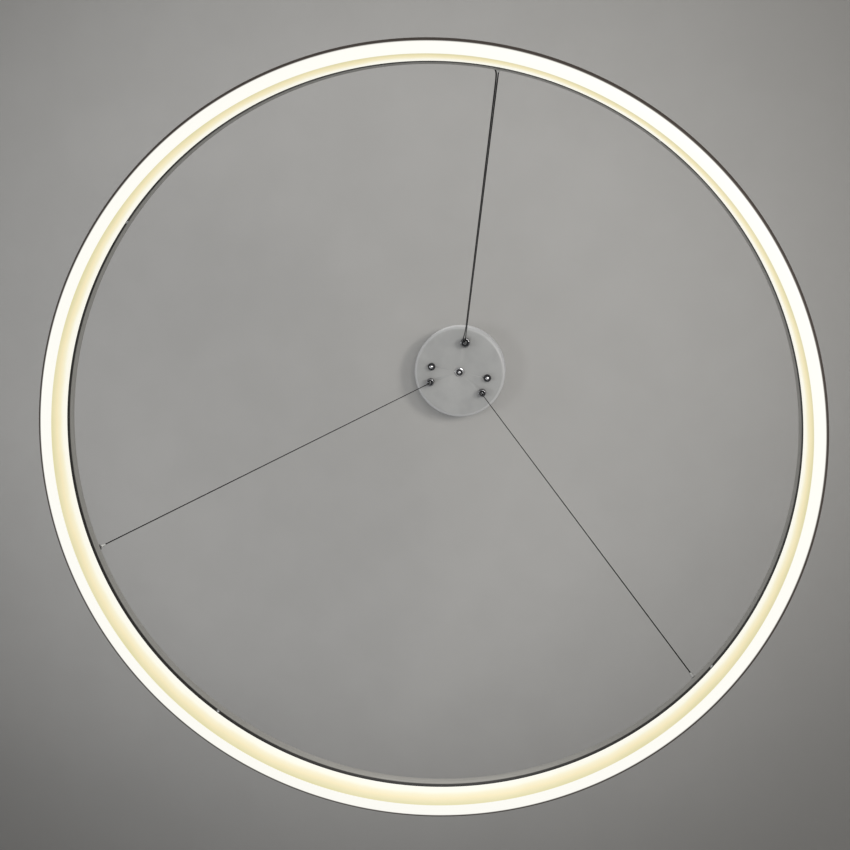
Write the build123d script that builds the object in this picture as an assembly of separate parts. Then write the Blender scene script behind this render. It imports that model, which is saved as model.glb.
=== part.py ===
from build123d import *
import os
from math import atan2, degrees, hypot, radians, tan

# A lit ring that hangs from a round ceiling canopy on three steel ropes, one with the power lead beside it.
# Millimetres, +Z up. The origin is the centre of the face against the ceiling, and +Y points to rope 1,
# the rope with the lead. The other two ropes follow at a third of a turn each.

# ---------------------------------------------------------------- driving sizes

# Ring: an aluminium section rolled into a circle, with a translucent lens below and inside it
ring_diameter = 800.0
ring_width = 15.5
frame_wall = 1.5
lens_wall = 2.0
lit_height = 38.0          # the part of the ring's inner wall that glows
lens_corner_radius = 6.0   # the rounded outer lower edge
corner_rise = 2.0          # the lens goes on straight up for this much above the rounded edge
tongue_length = 5.0        # the lens's edges that tuck inside the frame
tongue_thickness = 1.6
lens_fit = 0.3             # between the lens's tongues and the frame
web_gap = 1.0              # between the inner tongue's top and the web above it
channel_height = 8.0       # inside the hollow above the web, for the nuts and the splice key
seam_gap = 0.3             # where the two ends of the rolled section meet
seam_angle = 140.0

# Canopy: a pressed steel cup
canopy_radius = 76.0
canopy_height = 38.0
canopy_wall = 1.2
canopy_edge_radius = 6.0

# Hanging
hanging_height = 710.0     # from the ceiling to the ring's underside
rope_radius = 0.6
lead_radius = 0.8
lead_bend_limit = 400.0
gripper_circle = 51.0
first_rope_angle = 90.0
rope_count = 3

# Ceiling bracket: a pressed plate with an arm each side
bracket_thickness = 1.5
bracket_disc_radius = 38.0
bracket_arm_width = 20.0
bracket_arm_margin = 8.0   # past the stud's centre
bracket_corner_radius = 4.0
slot_spacing = 60.0
slot_width = 4.5
slot_length = 12.0
entry_hole_radius = 5.0
entry_hole_x = 15.0
entry_hole_y = -25.0

# Studs that carry the cover, and their domed nuts
stud_spacing = 95.0
stud_radius = 2.0
stud_hole_fit = 0.3
locknut_flats = 7.0
locknut_height = 3.2
washer_radius = 5.4
washer_thickness = 0.8
cap_nut_radius = 6.4
cap_nut_skirt = 3.0        # its straight lower part, under a half-round dome
cap_nut_bore_depth = 6.0
thread_fit = 0.05

# Plug in the middle of the cover
plug_flange_radius = 7.4
plug_flange_height = 2.0
plug_dome_radius = 5.4
plug_neck_radius = 4.0
plug_neck_length = 8.0
panel_nut_height = 3.0
panel_nut_rim = 2.5        # metal outside the thread, over the flats

# Rope grippers
gripper_radius = 6.2
lead_gripper_radius = 7.75
gripper_length = 13.0      # below the cover
gripper_chamfer = 1.2
neck_radius = 4.0
lead_neck_radius = 6.6
neck_length = 11.0         # from the cover's lower face to the top
neck_fit = 0.2
gripper_bore_radius = 2.9
gripper_cone_top = 3.0     # heights from the cover's lower face
gripper_cone_bottom = -3.0
gripper_step = -6.0
plunger_stem_radius = 1.65
plunger_fit = 0.08
plunger_knob_radius = 2.6
plunger_knob_height = 1.5
plunger_collar_radius = 2.0
plunger_collar_height = 1.2
plunger_stop_gap = 0.1
plunger_travel = 2.5       # from the knob up to the gripper's body
plunger_stem_end = 3.2     # the stem's length above its collar
plunger_lip = 0.5          # the knob's rounded edges and the flare of its mouth
rope_fit = 0.15
collar_fit = 0.15
jaw_fit = 0.15
jaw_grip_fit = 0.05
jaw_split = 0.4
jaw_height = 3.6
jaw_seat_gap = 0.1
cage_plug_height = 3.0
spring_wire = 0.4
spring_fit = 0.3
spring_end_gap = 0.1
spring_turns = 4
lead_hole_fit = 0.25
lead_wall = 0.7            # metal between the gripper's bore and its lead hole

# Driver and terminals inside the canopy
driver_length = 82.0
driver_depth = 30.0
driver_height = 20.0
driver_offset = 7.0        # from the bracket's middle line
driver_wall = 1.8
driver_corner_radius = 2.0
driver_lid_thickness = 1.6
driver_boss_radius = 3.5
driver_boss_floor = 0.8
driver_screw_spacing = 44.0
driver_screw_radius = 1.5
driver_screw_head_radius = 2.8
driver_screw_length = 9.0
screw_end_gap = 0.5        # free depth under a screw's end in a blind hole
board_thickness = 1.6
board_margin = 1.0
transformer_size = (20.0, 16.0, 9.0)
capacitor_radius = 4.0
capacitor_height = 8.0
terminal_pitch = 9.0
terminal_poles = 3
terminal_depth = 16.0
terminal_height = 12.0
terminal_x = -12.0
terminal_y = -30.0
terminal_bore_radius = 1.9
terminal_screw_radius = 1.5
terminal_screw_length = 1.9
terminal_screw_sink = 0.3
terminal_chamfer = 1.5
terminal_end = 2.0
earth_screw_radius = 2.0
earth_head_radius = 3.6
earth_head_height = 2.2
earth_x = 18.0
earth_y = -11.0
wire_radius = 0.7
wire_drop = 8.0            # from the bracket down to the wires' ends
wire_hole_fit = 0.3
wire_inside = 1.0          # past the driver's wall
lead_cover_gap = 7.3       # from the output lead's loop out to the cover's wall
wire_grip = 5.0            # inside the terminal block

# Rope anchors on the ring
anchor_radius = 6.0
anchor_height = 9.0
anchor_lip_radius = 4.9
anchor_mouth_radius = 4.3
anchor_throat_radius = 2.0
anchor_throat_depth = 2.4
anchor_bore_radius = 2.75
anchor_shank_radius = 4.0
anchor_hole_fit = 0.2
anchor_nut_height = 4.0
anchor_nut_rim = 2.0
anchor_nut_gap = 0.2       # from the nut down to the web
stop_ball_radius = 2.5
stop_fit = 0.05
stop_neck_radius = 0.9
stop_neck_length = 5.5
stop_barrel_radius = 1.4
stop_barrel_length = 7.0
rope_end_gap = 0.3

# Lead grommet, light boards and ring fasteners
grommet_offset = 12.0      # along the ring, from the anchor beside it
grommet_radius = 3.4
grommet_lip = 1.4
grommet_waist_radius = 2.6
grommet_fit = 0.1
board_count = 4
board_width = 7.0
led_board_thickness = 1.2
board_end_gap = 1.5
chips_per_board = 18
chip_length = 3.5
chip_width = 2.8
chip_height = 0.8
board_screw_radius = 1.2
board_screw_head_radius = 2.2
board_screw_head_height = 1.2
board_screw_length = 4.0
screw_chip_count = 5       # chips between each end of a board and its screw
link_length = 9.0
link_width = 4.0
link_height = 2.0
lens_screw_count = 4
lens_screw_angle = 26.0
lens_screw_radius = 1.1
lens_screw_head_radius = 1.9
lens_screw_head_height = 0.8
lens_screw_seat = 0.02     # the flat head stands this clear of the curved wall
screw_fit = 0.15
key_length = 60.0
key_fit = 0.25
key_screw_radius = 1.5
key_screw_head_radius = 2.6
key_screw_length = 5.5

# ---------------------------------------------------------------- places worked out from them

ring_outer = ring_diameter / 2
ring_inner = ring_outer - ring_width
ring_middle = ring_outer - ring_width / 2
cover_face = -canopy_height
cover_inside = cover_face + canopy_wall
ring_bottom = -hanging_height
web_under = ring_bottom + lit_height + tongue_length + web_gap
web_top = web_under + frame_wall
channel_top = web_top + channel_height
ring_top = channel_top + frame_wall
bracket_under = -bracket_thickness
wire_height = bracket_under - wire_drop
rope_angles = [first_rope_angle - 360 / rope_count * i for i in range(rope_count)]

gripper_bottom = cover_face - gripper_length
neck_top = cover_face + neck_length
plunger_mouth = gripper_bottom - plunger_travel - plunger_knob_height
cage_plug_under = neck_top - cage_plug_height
collar_bottom = cover_face + gripper_step + plunger_stop_gap
stem_top = collar_bottom + plunger_collar_height + plunger_stem_end
jaw_bottom = stem_top + jaw_seat_gap
jaw_top = jaw_bottom + jaw_height
lead_hole_radius = lead_radius + lead_hole_fit
lead_offset = gripper_bore_radius + lead_wall + lead_hole_radius

stop_depth = (stop_ball_radius + stop_fit) * 2**0.5 - anchor_throat_radius  # on the throat's 45 degree seat
stop_centre = ring_top + anchor_height - anchor_throat_depth - stop_depth
rope_fall = plunger_mouth - stop_centre
rope_spread = ring_middle - gripper_circle
rope_slant = degrees(atan2(rope_spread, rope_fall))

os.makedirs("parts", exist_ok=True)


# ---------------------------------------------------------------- shared shapes

def save(node, *shapes):
    """Write one node's solids to their own file."""
    solids = [solid for shape in shapes for solid in shape.solids()]
    body = solids[0] if len(solids) == 1 else Compound(children=solids)
    body.label = node
    export_step(body, f"parts/{node}.step")


def turned(*points, arc=360):
    """A solid turned about Z from an outline of (radius, height) points."""
    outline = Plane.XZ * make_face(Polyline(*points, close=True))
    return revolve(outline, Axis.Z, revolution_arc=arc)


def rod(radius, bottom, top, x=0.0, y=0.0):
    """An upright cylinder between two heights."""
    return extrude(Pos(x, y, bottom) * Circle(radius), top - bottom)


def block(low, high):
    """A box between two corners."""
    size = [b - a for a, b in zip(low, high)]
    return Pos(*low) * Box(*size, align=(Align.MIN, Align.MIN, Align.MIN))


def hex_nut(flats, bore, bottom, height):
    """A hexagon nut on the Z axis."""
    ring = RegularPolygon(flats / 2, 6, major_radius=False) - Circle(bore)
    return extrude(Pos(0, 0, bottom) * ring, height)


def on_canopy(index):
    """Where gripper number index stands, with its own +X pointing away from the canopy's middle."""
    return Rot(0, 0, rope_angles[index]) * Pos(gripper_circle, 0, 0)


def on_ring(angle):
    """The middle of the ring's section at an angle, with its own +X pointing outward."""
    return Rot(0, 0, angle) * Pos(ring_middle, 0, 0)


def tube(radius, points, radii):
    """A round tube along straight runs that join in arcs."""
    path = FilletPolyline(*points, radius=radii) if radii else Polyline(*points)
    start = Plane(origin=path @ 0, z_dir=path % 0)
    return sweep(start * Circle(radius), path=path)


def bend_radii(points):
    """The largest arc that each corner's two runs allow."""
    radii = []
    for before, corner, after in zip(points, points[1:], points[2:]):
        one = Vector(*corner) - Vector(*before)
        two = Vector(*after) - Vector(*corner)
        turn = radians(one.get_angle(two))
        radii.append(0.45 * min(one.length, two.length) / tan(turn / 2))
    return radii


def report_bends(name, radii):
    print(f"{name}: bends of", ", ".join(f"{radius:.1f}" for radius in radii), "mm")


# ---------------------------------------------------------------- canopy

def make_bracket():
    """The pressed plate that is screwed to the ceiling."""
    arm = stud_spacing / 2 + bracket_arm_margin
    outline = Circle(bracket_disc_radius) + Rectangle(2 * arm, bracket_arm_width)
    outline = fillet(outline.vertices(), bracket_corner_radius)
    plate = extrude(outline, -bracket_thickness)
    for side in (-1, 1):
        slot = SlotOverall(slot_length, slot_width)
        plate -= extrude(Pos(side * slot_spacing / 2, 0) * slot, -bracket_thickness)
        plate -= rod(stud_radius + thread_fit, bracket_under, 0, side * stud_spacing / 2)
        x = side * driver_screw_spacing / 2
        y = driver_offset + driver_depth / 2
        head = Pos(x, y, 0) * turned(
            (0, 0), (driver_screw_head_radius + thread_fit, 0),
            (driver_screw_radius + thread_fit, bracket_under), (0, bracket_under))
        plate -= head
    plate -= rod(entry_hole_radius, bracket_under, 0, entry_hole_x, entry_hole_y)
    plate -= rod(earth_screw_radius + thread_fit, bracket_under, 0, earth_x, earth_y)
    save("ceiling_bracket", plate)


def make_studs():
    """Threaded studs in the bracket's arms, their locknuts, and the washers and domed nuts below."""
    nut_top = cover_face - washer_thickness
    stud_end = nut_top - cap_nut_bore_depth + thread_fit * 4
    studs, locknuts, washers, caps = [], [], [], []
    for side in (-1, 1):
        place = Pos(side * stud_spacing / 2, 0, 0)
        studs.append(place * rod(stud_radius, stud_end, 0))
        locknuts.append(place * hex_nut(locknut_flats, stud_radius + thread_fit,
                                        bracket_under - locknut_height, locknut_height))
        washers.append(place * turned(
            (stud_radius + stud_hole_fit, cover_face), (washer_radius, cover_face),
            (washer_radius, nut_top), (stud_radius + stud_hole_fit, nut_top)))
        outline = Plane.XZ * make_face(
            Line((0, nut_top), (cap_nut_radius, nut_top))
            + Line((cap_nut_radius, nut_top), (cap_nut_radius, nut_top - cap_nut_skirt))
            + CenterArc((0, nut_top - cap_nut_skirt), cap_nut_radius, 270, 90)
            + Line((0, nut_top - cap_nut_skirt - cap_nut_radius), (0, nut_top)))
        cap = revolve(outline, Axis.Z)
        cap -= rod(stud_radius + thread_fit, nut_top - cap_nut_bore_depth, nut_top)
        caps.append(place * cap)
    save("bracket_studs", *studs)
    save("stud_locknuts", *locknuts)
    save("cap_nut_washers", *washers)
    save("cap_nuts", *caps)


def make_cover():
    """The cup under the ceiling: a turned shell with a rounded edge and six holes in its face."""
    inner = canopy_radius - canopy_wall
    edge = canopy_edge_radius
    outline = Plane.XZ * make_face(
        Line((0, cover_face), (canopy_radius - edge, cover_face))
        + CenterArc((canopy_radius - edge, cover_face + edge), edge, 270, 90)
        + Line((canopy_radius, cover_face + edge), (canopy_radius, 0))
        + Line((canopy_radius, 0), (inner, 0))
        + Line((inner, 0), (inner, cover_face + edge))
        + Line((inner, cover_face + edge), (canopy_radius - edge, cover_inside))
        + Line((canopy_radius - edge, cover_inside), (0, cover_inside))
        + Line((0, cover_inside), (0, cover_face)))
    cover = revolve(outline, Axis.Z)
    for side in (-1, 1):
        cover -= rod(stud_radius + stud_hole_fit, cover_face, cover_inside, side * stud_spacing / 2)
    for index in range(rope_count):
        neck = lead_neck_radius if index == 0 else neck_radius
        cover -= on_canopy(index) * rod(neck + neck_fit, cover_face, cover_inside)
    cover -= rod(plug_neck_radius + neck_fit, cover_face, cover_inside)
    save("canopy_cover", cover)


def make_centre_plug():
    """The plug that closes the cover's middle hole, and the nut that holds it."""
    flange = cover_face - plug_flange_height
    neck = cover_face + plug_neck_length
    outline = Plane.XZ * make_face(
        Line((0, neck), (plug_neck_radius, neck))
        + Line((plug_neck_radius, neck), (plug_neck_radius, cover_face))
        + Line((plug_neck_radius, cover_face), (plug_flange_radius, cover_face))
        + Line((plug_flange_radius, cover_face), (plug_flange_radius, flange))
        + Line((plug_flange_radius, flange), (plug_dome_radius, flange))
        + CenterArc((0, flange), plug_dome_radius, 270, 90)
        + Line((0, flange - plug_dome_radius), (0, neck)))
    save("centre_plug", revolve(outline, Axis.Z))
    flats = 2 * (plug_neck_radius + panel_nut_rim)
    save("centre_nut", hex_nut(flats, plug_neck_radius + thread_fit, cover_inside, panel_nut_height))


# ---------------------------------------------------------------- rope grippers

def cone_radius(height):
    """The gripper's inner radius on its cone, at a height from the cover's lower face."""
    small = plunger_collar_radius + collar_fit
    share = (height - gripper_cone_bottom) / (gripper_cone_top - gripper_cone_bottom)
    return small + (gripper_bore_radius - small) * share


def make_gripper_body(index):
    """A turned sleeve through the cover, with the cone that the jaws wedge into."""
    outer = lead_gripper_radius if index == 0 else gripper_radius
    neck = lead_neck_radius if index == 0 else neck_radius
    small = plunger_collar_radius + collar_fit
    hole = plunger_stem_radius + plunger_fit
    body = turned(
        (hole, gripper_bottom), (outer - gripper_chamfer, gripper_bottom),
        (outer, gripper_bottom + gripper_chamfer), (outer, cover_face), (neck, cover_face),
        (neck, neck_top), (gripper_bore_radius, neck_top),
        (gripper_bore_radius, cover_face + gripper_cone_top), (small, cover_face + gripper_cone_bottom),
        (small, cover_face + gripper_step), (hole, cover_face + gripper_step))
    if index == 0:
        body -= rod(lead_hole_radius, gripper_bottom, neck_top, 0, -lead_offset)
    save(f"gripper_body_{index + 1}", on_canopy(index) * body)
    flats = 2 * (neck + panel_nut_rim)
    nut = hex_nut(flats, neck + thread_fit, cover_inside, panel_nut_height)
    save(f"gripper_nut_{index + 1}", on_canopy(index) * nut)


def make_cage_plugs():
    """The threaded plugs that close the grippers' tops over their springs."""
    hole = rope_radius + rope_fit
    rim = gripper_bore_radius - thread_fit
    plug = turned((hole, cage_plug_under), (rim, cage_plug_under), (rim, neck_top), (hole, neck_top))
    save("cage_plugs", *[on_canopy(index) * plug for index in range(rope_count)])


def make_plunger(index):
    """The hollow plunger: pushed up it lifts the jaws out of the cone and frees the rope."""
    hole = rope_radius + rope_fit
    knob_top = plunger_mouth + plunger_knob_height
    collar_top = collar_bottom + plunger_collar_height
    plunger = turned(
        (hole + plunger_lip, plunger_mouth), (plunger_knob_radius - plunger_lip, plunger_mouth),
        (plunger_knob_radius, plunger_mouth + plunger_lip), (plunger_knob_radius, knob_top),
        (plunger_stem_radius, knob_top), (plunger_stem_radius, collar_bottom),
        (plunger_collar_radius, collar_bottom), (plunger_collar_radius, collar_top),
        (plunger_stem_radius, collar_top), (plunger_stem_radius, stem_top), (hole, stem_top),
        (hole, plunger_mouth + plunger_lip))
    save(f"plunger_{index + 1}", on_canopy(index) * plunger)


def make_jaws(index):
    """Two half cones that bite on the rope."""
    low = cone_radius(jaw_bottom - cover_face) - jaw_fit
    high = min(cone_radius(jaw_top - cover_face), gripper_bore_radius) - jaw_fit
    grip = rope_radius + jaw_grip_fit
    cone = turned((grip, jaw_bottom), (low, jaw_bottom), (high, jaw_top), (grip, jaw_top))
    cone -= block((-jaw_split / 2, -high, jaw_bottom), (jaw_split / 2, high, jaw_top))
    save(f"grip_jaws_{index + 1}", on_canopy(index) * cone)


def make_spring(index):
    """The coil between the jaws and the cage plug."""
    low = jaw_top + spring_end_gap + spring_wire / 2
    high = cage_plug_under - spring_end_gap - spring_wire / 2
    radius = gripper_bore_radius - spring_fit - spring_wire / 2
    path = Pos(0, 0, low) * Helix((high - low) / spring_turns, high - low, radius)
    wire = Plane(origin=path @ 0, z_dir=path % 0) * Rectangle(spring_wire, spring_wire)
    save(f"plunger_spring_{index + 1}", on_canopy(index) * sweep(wire, path=path, is_frenet=True))


# ---------------------------------------------------------------- driver and wiring in the canopy

def make_driver():
    """The driver's case, lid, circuit board and screws, held under the bracket."""
    half = driver_length / 2
    near = driver_offset
    far = driver_offset + driver_depth
    top = bracket_under
    bottom = top - driver_height
    lid_top = bottom + driver_lid_thickness
    wall = driver_wall
    case = block((-half, near, lid_top), (half, far, top))
    case = fillet(case.edges().filter_by(Axis.Z), driver_corner_radius)
    case -= block((-half + wall, near + wall, lid_top), (half - wall, far - wall, top - wall))
    middle = (near + far) / 2
    boss_bottom = top - driver_screw_length - screw_end_gap - driver_boss_floor
    screws = []
    for side in (-1, 1):
        x = side * driver_screw_spacing / 2
        case += rod(driver_boss_radius, boss_bottom, top - wall, x, middle)
        hole_end = top - driver_screw_length - screw_end_gap
        case -= rod(driver_screw_radius + thread_fit, hole_end, top, x, middle)
        screws.append(Pos(x, middle, 0) * turned(
            (0, 0), (driver_screw_head_radius, 0), (driver_screw_radius, bracket_under),
            (driver_screw_radius, top - driver_screw_length), (0, top - driver_screw_length)))
    case -= Pos(half, middle, wire_height) * Rot(0, 90, 0) * Cylinder(lead_radius + wire_hole_fit, 3 * wall)
    for x in terminal_wires():
        hole = Cylinder(wire_radius + wire_hole_fit, 3 * wall)
        case -= Pos(x, near, wire_height) * Rot(90, 0, 0) * hole
    save("driver_case", case)
    lid = block((-half, near, bottom), (half, far, lid_top))
    save("driver_lid", fillet(lid.edges().filter_by(Axis.Z), driver_corner_radius))
    save("driver_screws", *screws)
    edge = wall + board_margin
    board_top = lid_top + board_thickness
    board = block((-half + edge, near + edge, lid_top), (half - edge, far - edge, board_top))
    width, depth, height = transformer_size
    room = boss_bottom - board_top
    for x in (-width, 0.0, width * 1.2):
        board += block((x - width * 0.3, middle - depth / 2, board_top),
                       (x + width * 0.3, middle + depth / 2, board_top + min(height, room - 1)))
    for x in (-half + 10, half - 10):
        board += rod(capacitor_radius, board_top, board_top + min(capacitor_height, room - 1), x, middle)
    save("driver_board", board)


def terminal_wires():
    """Where the driver's two mains wires lie, along X: at the first two poles of the terminal block."""
    first = terminal_x - terminal_pitch * (terminal_poles - 1) / 2
    return [first, first + terminal_pitch]


def make_terminals():
    """The mains terminal block under the bracket, with its clamp screws, and the earth screw."""
    half = terminal_pitch * terminal_poles / 2 + terminal_end
    top = bracket_under
    bottom = top - terminal_height
    near = terminal_y + terminal_depth / 2
    far = terminal_y - terminal_depth / 2
    body = block((terminal_x - half, far, bottom), (terminal_x + half, near, top))
    body = chamfer(body.edges().filter_by(Axis.X).group_by(Axis.Z)[0], terminal_chamfer)
    screws = []
    for pole in range(terminal_poles):
        x = terminal_x + (pole - (terminal_poles - 1) / 2) * terminal_pitch
        bore = Cylinder(terminal_bore_radius, terminal_depth)
        body -= Pos(x, terminal_y, wire_height) * Rot(90, 0, 0) * bore
        for side in (-1, 1):
            y = terminal_y + side * terminal_depth / 4
            body -= rod(terminal_screw_radius + thread_fit, bottom, wire_height, x, y)
            foot = bottom + terminal_screw_sink
            screws.append(rod(terminal_screw_radius, foot, foot + terminal_screw_length, x, y))
    save("terminal_block", body)
    save("terminal_screws", *screws)
    head = bracket_under - earth_head_height
    earth = turned((0, 0), (earth_screw_radius, 0), (earth_screw_radius, bracket_under),
                   (earth_head_radius, bracket_under), (earth_head_radius, head), (0, head))
    save("earth_screw", Pos(earth_x, earth_y, 0) * earth)


def make_input_leads():
    """Two short wires from the driver's side to the terminal block."""
    height = wire_height
    start = driver_offset + driver_wall + wire_inside
    end = terminal_y + terminal_depth / 2 - wire_grip
    leads = []
    for x in terminal_wires():
        points = [(x, start, height), (x, driver_offset - 6, height), (x, -4, height - 3.5),
                  (x, end + 13, height - 3.5), (x, end + 6.5, height), (x, end, height)]
        radii = [0.9 * radius for radius in bend_radii(points)]
        leads.append(tube(wire_radius, points, radii))
    report_bends("input_leads", radii)
    save("input_leads", *leads)


def make_output_lead():
    """The lead from the driver round to the lead hole of gripper 1, and down through it."""
    height = wire_height
    middle = driver_offset + driver_depth / 2
    side = driver_length / 2
    x = lead_offset
    y = gripper_circle
    reach = canopy_radius - canopy_wall - lead_cover_gap
    corner = degrees(atan2(driver_offset + driver_depth, side))
    near = Vector(reach, 0, height - 1).rotate(Axis.Z, corner - 2.5)
    far = Vector(reach, 0, height - 3).rotate(Axis.Z, corner + 20)
    points = [(side - driver_wall - wire_inside, middle, height), (side + 13, middle + 1, height),
              tuple(near), tuple(far), (x + 8, y + 9, height - 2), (x + 4, y + 5, height - 0.5),
              (x, y, height - 8), (x, y, gripper_bottom)]
    radii = bend_radii(points)
    report_bends("output_lead", radii)
    save("output_lead", tube(lead_radius, points, radii))


def make_rope_tail(index):
    """The rope inside the gripper, and its free end inside the canopy."""
    swing = -1 if index == 0 else 1
    rise = neck_top + 10.0
    points = [(0, 0, plunger_mouth), (0, 0, rise), (1.5, swing * 8.0, rise + 7.0),
              (2.0, swing * 26.0, rise + 7.5)]
    radii = [8.0, 9.0]
    if index == 0:
        report_bends("rope tails", radii)
    save(f"rope_tail_{index + 1}", on_canopy(index) * tube(rope_radius, points, radii))


# ---------------------------------------------------------------- ropes and lead below the canopy

def slanted(height_share):
    """A place on the straight stretch of a rope, from the plunger's mouth (0) to the stop's middle (1)."""
    return (rope_spread * height_share, 0.0, plunger_mouth - rope_fall * height_share)


def make_rope(index):
    """The taut rope: it turns over the plunger's lip and runs straight to the ring."""
    length = hypot(rope_spread, rope_fall)
    stop = stop_neck_length + stop_barrel_length + rope_end_gap
    lip = 3.0
    end = slanted(1 - stop / length)
    points = [(0, 0, plunger_mouth), (0, 0, plunger_mouth - lip), end]
    radii = [7.0]
    if index == 0:
        report_bends("ropes, at the lip", radii)
    save(f"rope_{index + 1}", on_canopy(index) * tube(rope_radius, points, radii))


def make_power_lead():
    """The lead that follows rope 1 from the gripper to the grommet on the ring."""
    beside = rope_radius + lead_radius + 0.35
    near = slanted(0.07)
    far = slanted(0.9)
    last = slanted(0.965)
    grommet_top = ring_top + grommet_lip
    points = [(0, -lead_offset, gripper_bottom), (0, -lead_offset, gripper_bottom - 8.0),
              (near[0], -beside, near[2]), (far[0], -beside, far[2]),
              (last[0] - 3, -beside - 4.0, last[2] + 2.0),
              (rope_spread, -grommet_offset, grommet_top + 9.0),
              (rope_spread, -grommet_offset, grommet_top)]
    radii = [0.9 * radius for radius in bend_radii(points)]
    radii = [min(radius, lead_bend_limit) for radius in radii]
    report_bends("power_lead", radii)
    save("power_lead", on_canopy(0) * tube(lead_radius, points, radii))


# ---------------------------------------------------------------- ring

def make_ring_frame():
    """The rolled aluminium section: outer wall, top, short inner wall and the web that carries the lights."""
    outer = ring_outer
    inner = ring_inner
    wall = frame_wall
    foot = ring_bottom + lens_corner_radius + corner_rise
    brow = ring_bottom + lit_height
    profile = [
        (outer, foot), (outer, ring_top), (inner, ring_top), (inner, brow), (inner + wall, brow),
        (inner + wall, web_under), (outer - wall, web_under), (outer - wall, foot)]
    hollow = [
        (inner + wall, web_top), (outer - wall, web_top), (outer - wall, channel_top),
        (inner + wall, channel_top)]
    seam = degrees(seam_gap / ring_middle)
    frame = turned(*profile, arc=360 - seam) - turned(*hollow, arc=360)
    frame = Rot(0, 0, seam_angle + seam / 2) * frame
    for angle in rope_angles:
        frame -= on_ring(angle) * rod(anchor_shank_radius + anchor_hole_fit, channel_top, ring_top)
    frame -= grommet_place() * rod(grommet_waist_radius + grommet_fit, channel_top, ring_top)
    frame -= grommet_place() * rod(lead_hole_radius, web_under, web_top)
    for angle in lens_screw_angles():
        frame -= lens_screw_place(angle) * Cylinder(lens_screw_radius + screw_fit, 3 * wall)
    for angle in board_screw_angles():
        frame -= on_ring(angle) * rod(board_screw_radius + thread_fit, web_under, web_top)
    for angle in key_screw_angles():
        frame -= on_ring(angle) * turned(
            (0, channel_top), (key_screw_radius + thread_fit, channel_top),
            (key_screw_head_radius + thread_fit, ring_top), (0, ring_top))
    save("ring_frame", frame)


def make_lens():
    """The translucent lens: an L-shaped section whose two edges tuck inside the frame."""
    outer = ring_outer
    inner = ring_inner
    corner = lens_corner_radius
    foot = ring_bottom + corner + corner_rise
    brow = ring_bottom + lit_height
    wall = lens_wall
    outer_tongue = outer - frame_wall - lens_fit
    inner_tongue = inner + frame_wall + lens_fit
    thick = tongue_thickness
    lap = foot - lens_fit
    brow_lap = brow - lens_fit
    floor = ring_bottom + wall
    walls = [
        (outer, ring_bottom + corner), (outer, lap), (outer_tongue, lap),
        (outer_tongue, foot + tongue_length), (outer_tongue - thick, foot + tongue_length),
        (outer_tongue - thick, ring_bottom + corner), (outer - corner, floor), (inner + wall, floor),
        (inner + wall, brow_lap - 2 * wall),
        (inner_tongue + thick, brow_lap - wall), (inner_tongue + thick, brow + tongue_length),
        (inner_tongue, brow + tongue_length), (inner_tongue, brow_lap), (inner, brow_lap),
        (inner, ring_bottom), (outer - corner, ring_bottom)]
    outline = Polyline(*walls) + CenterArc((outer - corner, ring_bottom + corner), corner, 270, 90)
    lens = revolve(Plane.XZ * make_face(outline), Axis.Z)
    for angle in lens_screw_angles():
        lens -= lens_screw_place(angle) * Cylinder(lens_screw_radius + thread_fit, 2 * ring_width / 3)
    save("diffuser", lens)


def lens_screw_angles():
    return [lens_screw_angle + 360 / lens_screw_count * i for i in range(lens_screw_count)]


def lens_screw_place(angle):
    """The axis of a lens screw: level, through the frame's inner wall, with its own +Z toward the middle."""
    height = ring_bottom + lit_height + tongue_length / 2
    return Rot(0, 0, angle) * Pos(ring_inner, 0, height) * Rot(0, -90, 0)


def make_lens_screws():
    """Small screws through the frame's inner wall into the lens's tongue."""
    depth = frame_wall + lens_fit + tongue_thickness
    head = lens_screw_seat + lens_screw_head_height
    screw = turned((0, -depth), (lens_screw_radius, -depth), (lens_screw_radius, lens_screw_seat),
                   (lens_screw_head_radius, lens_screw_seat), (lens_screw_head_radius, head), (0, head))
    save("diffuser_screws", *[lens_screw_place(angle) * screw for angle in lens_screw_angles()])


def key_screw_angles():
    step = degrees(key_length / 4 / ring_middle)
    return [seam_angle - step, seam_angle + step]


def make_splice():
    """The key inside the channel that joins the section's two ends, and its screws."""
    span = degrees(key_length / ring_middle)
    low = web_top + key_fit
    high = channel_top
    inner = ring_inner + frame_wall + key_fit
    outer = ring_outer - frame_wall - key_fit
    key = Rot(0, 0, seam_angle - span / 2) * turned(
        (inner, low), (outer, low), (outer, high), (inner, high), arc=span)
    screws = []
    for angle in key_screw_angles():
        end = high - key_screw_length
        key -= on_ring(angle) * rod(key_screw_radius + thread_fit, end - screw_end_gap, high)
        screws.append(on_ring(angle) * turned(
            (0, end), (key_screw_radius, end), (key_screw_radius, channel_top),
            (key_screw_head_radius, ring_top), (0, ring_top)))
    save("splice_key", key)
    save("splice_screws", *screws)


def board_screw_angles():
    """Two screws a board, each in the middle between two chips."""
    span = 360 / board_count
    inset = screw_chip_count / chips_per_board
    return [seam_angle + span * (board + share) for board in range(board_count)
            for share in (inset, 1 - inset)]


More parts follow.
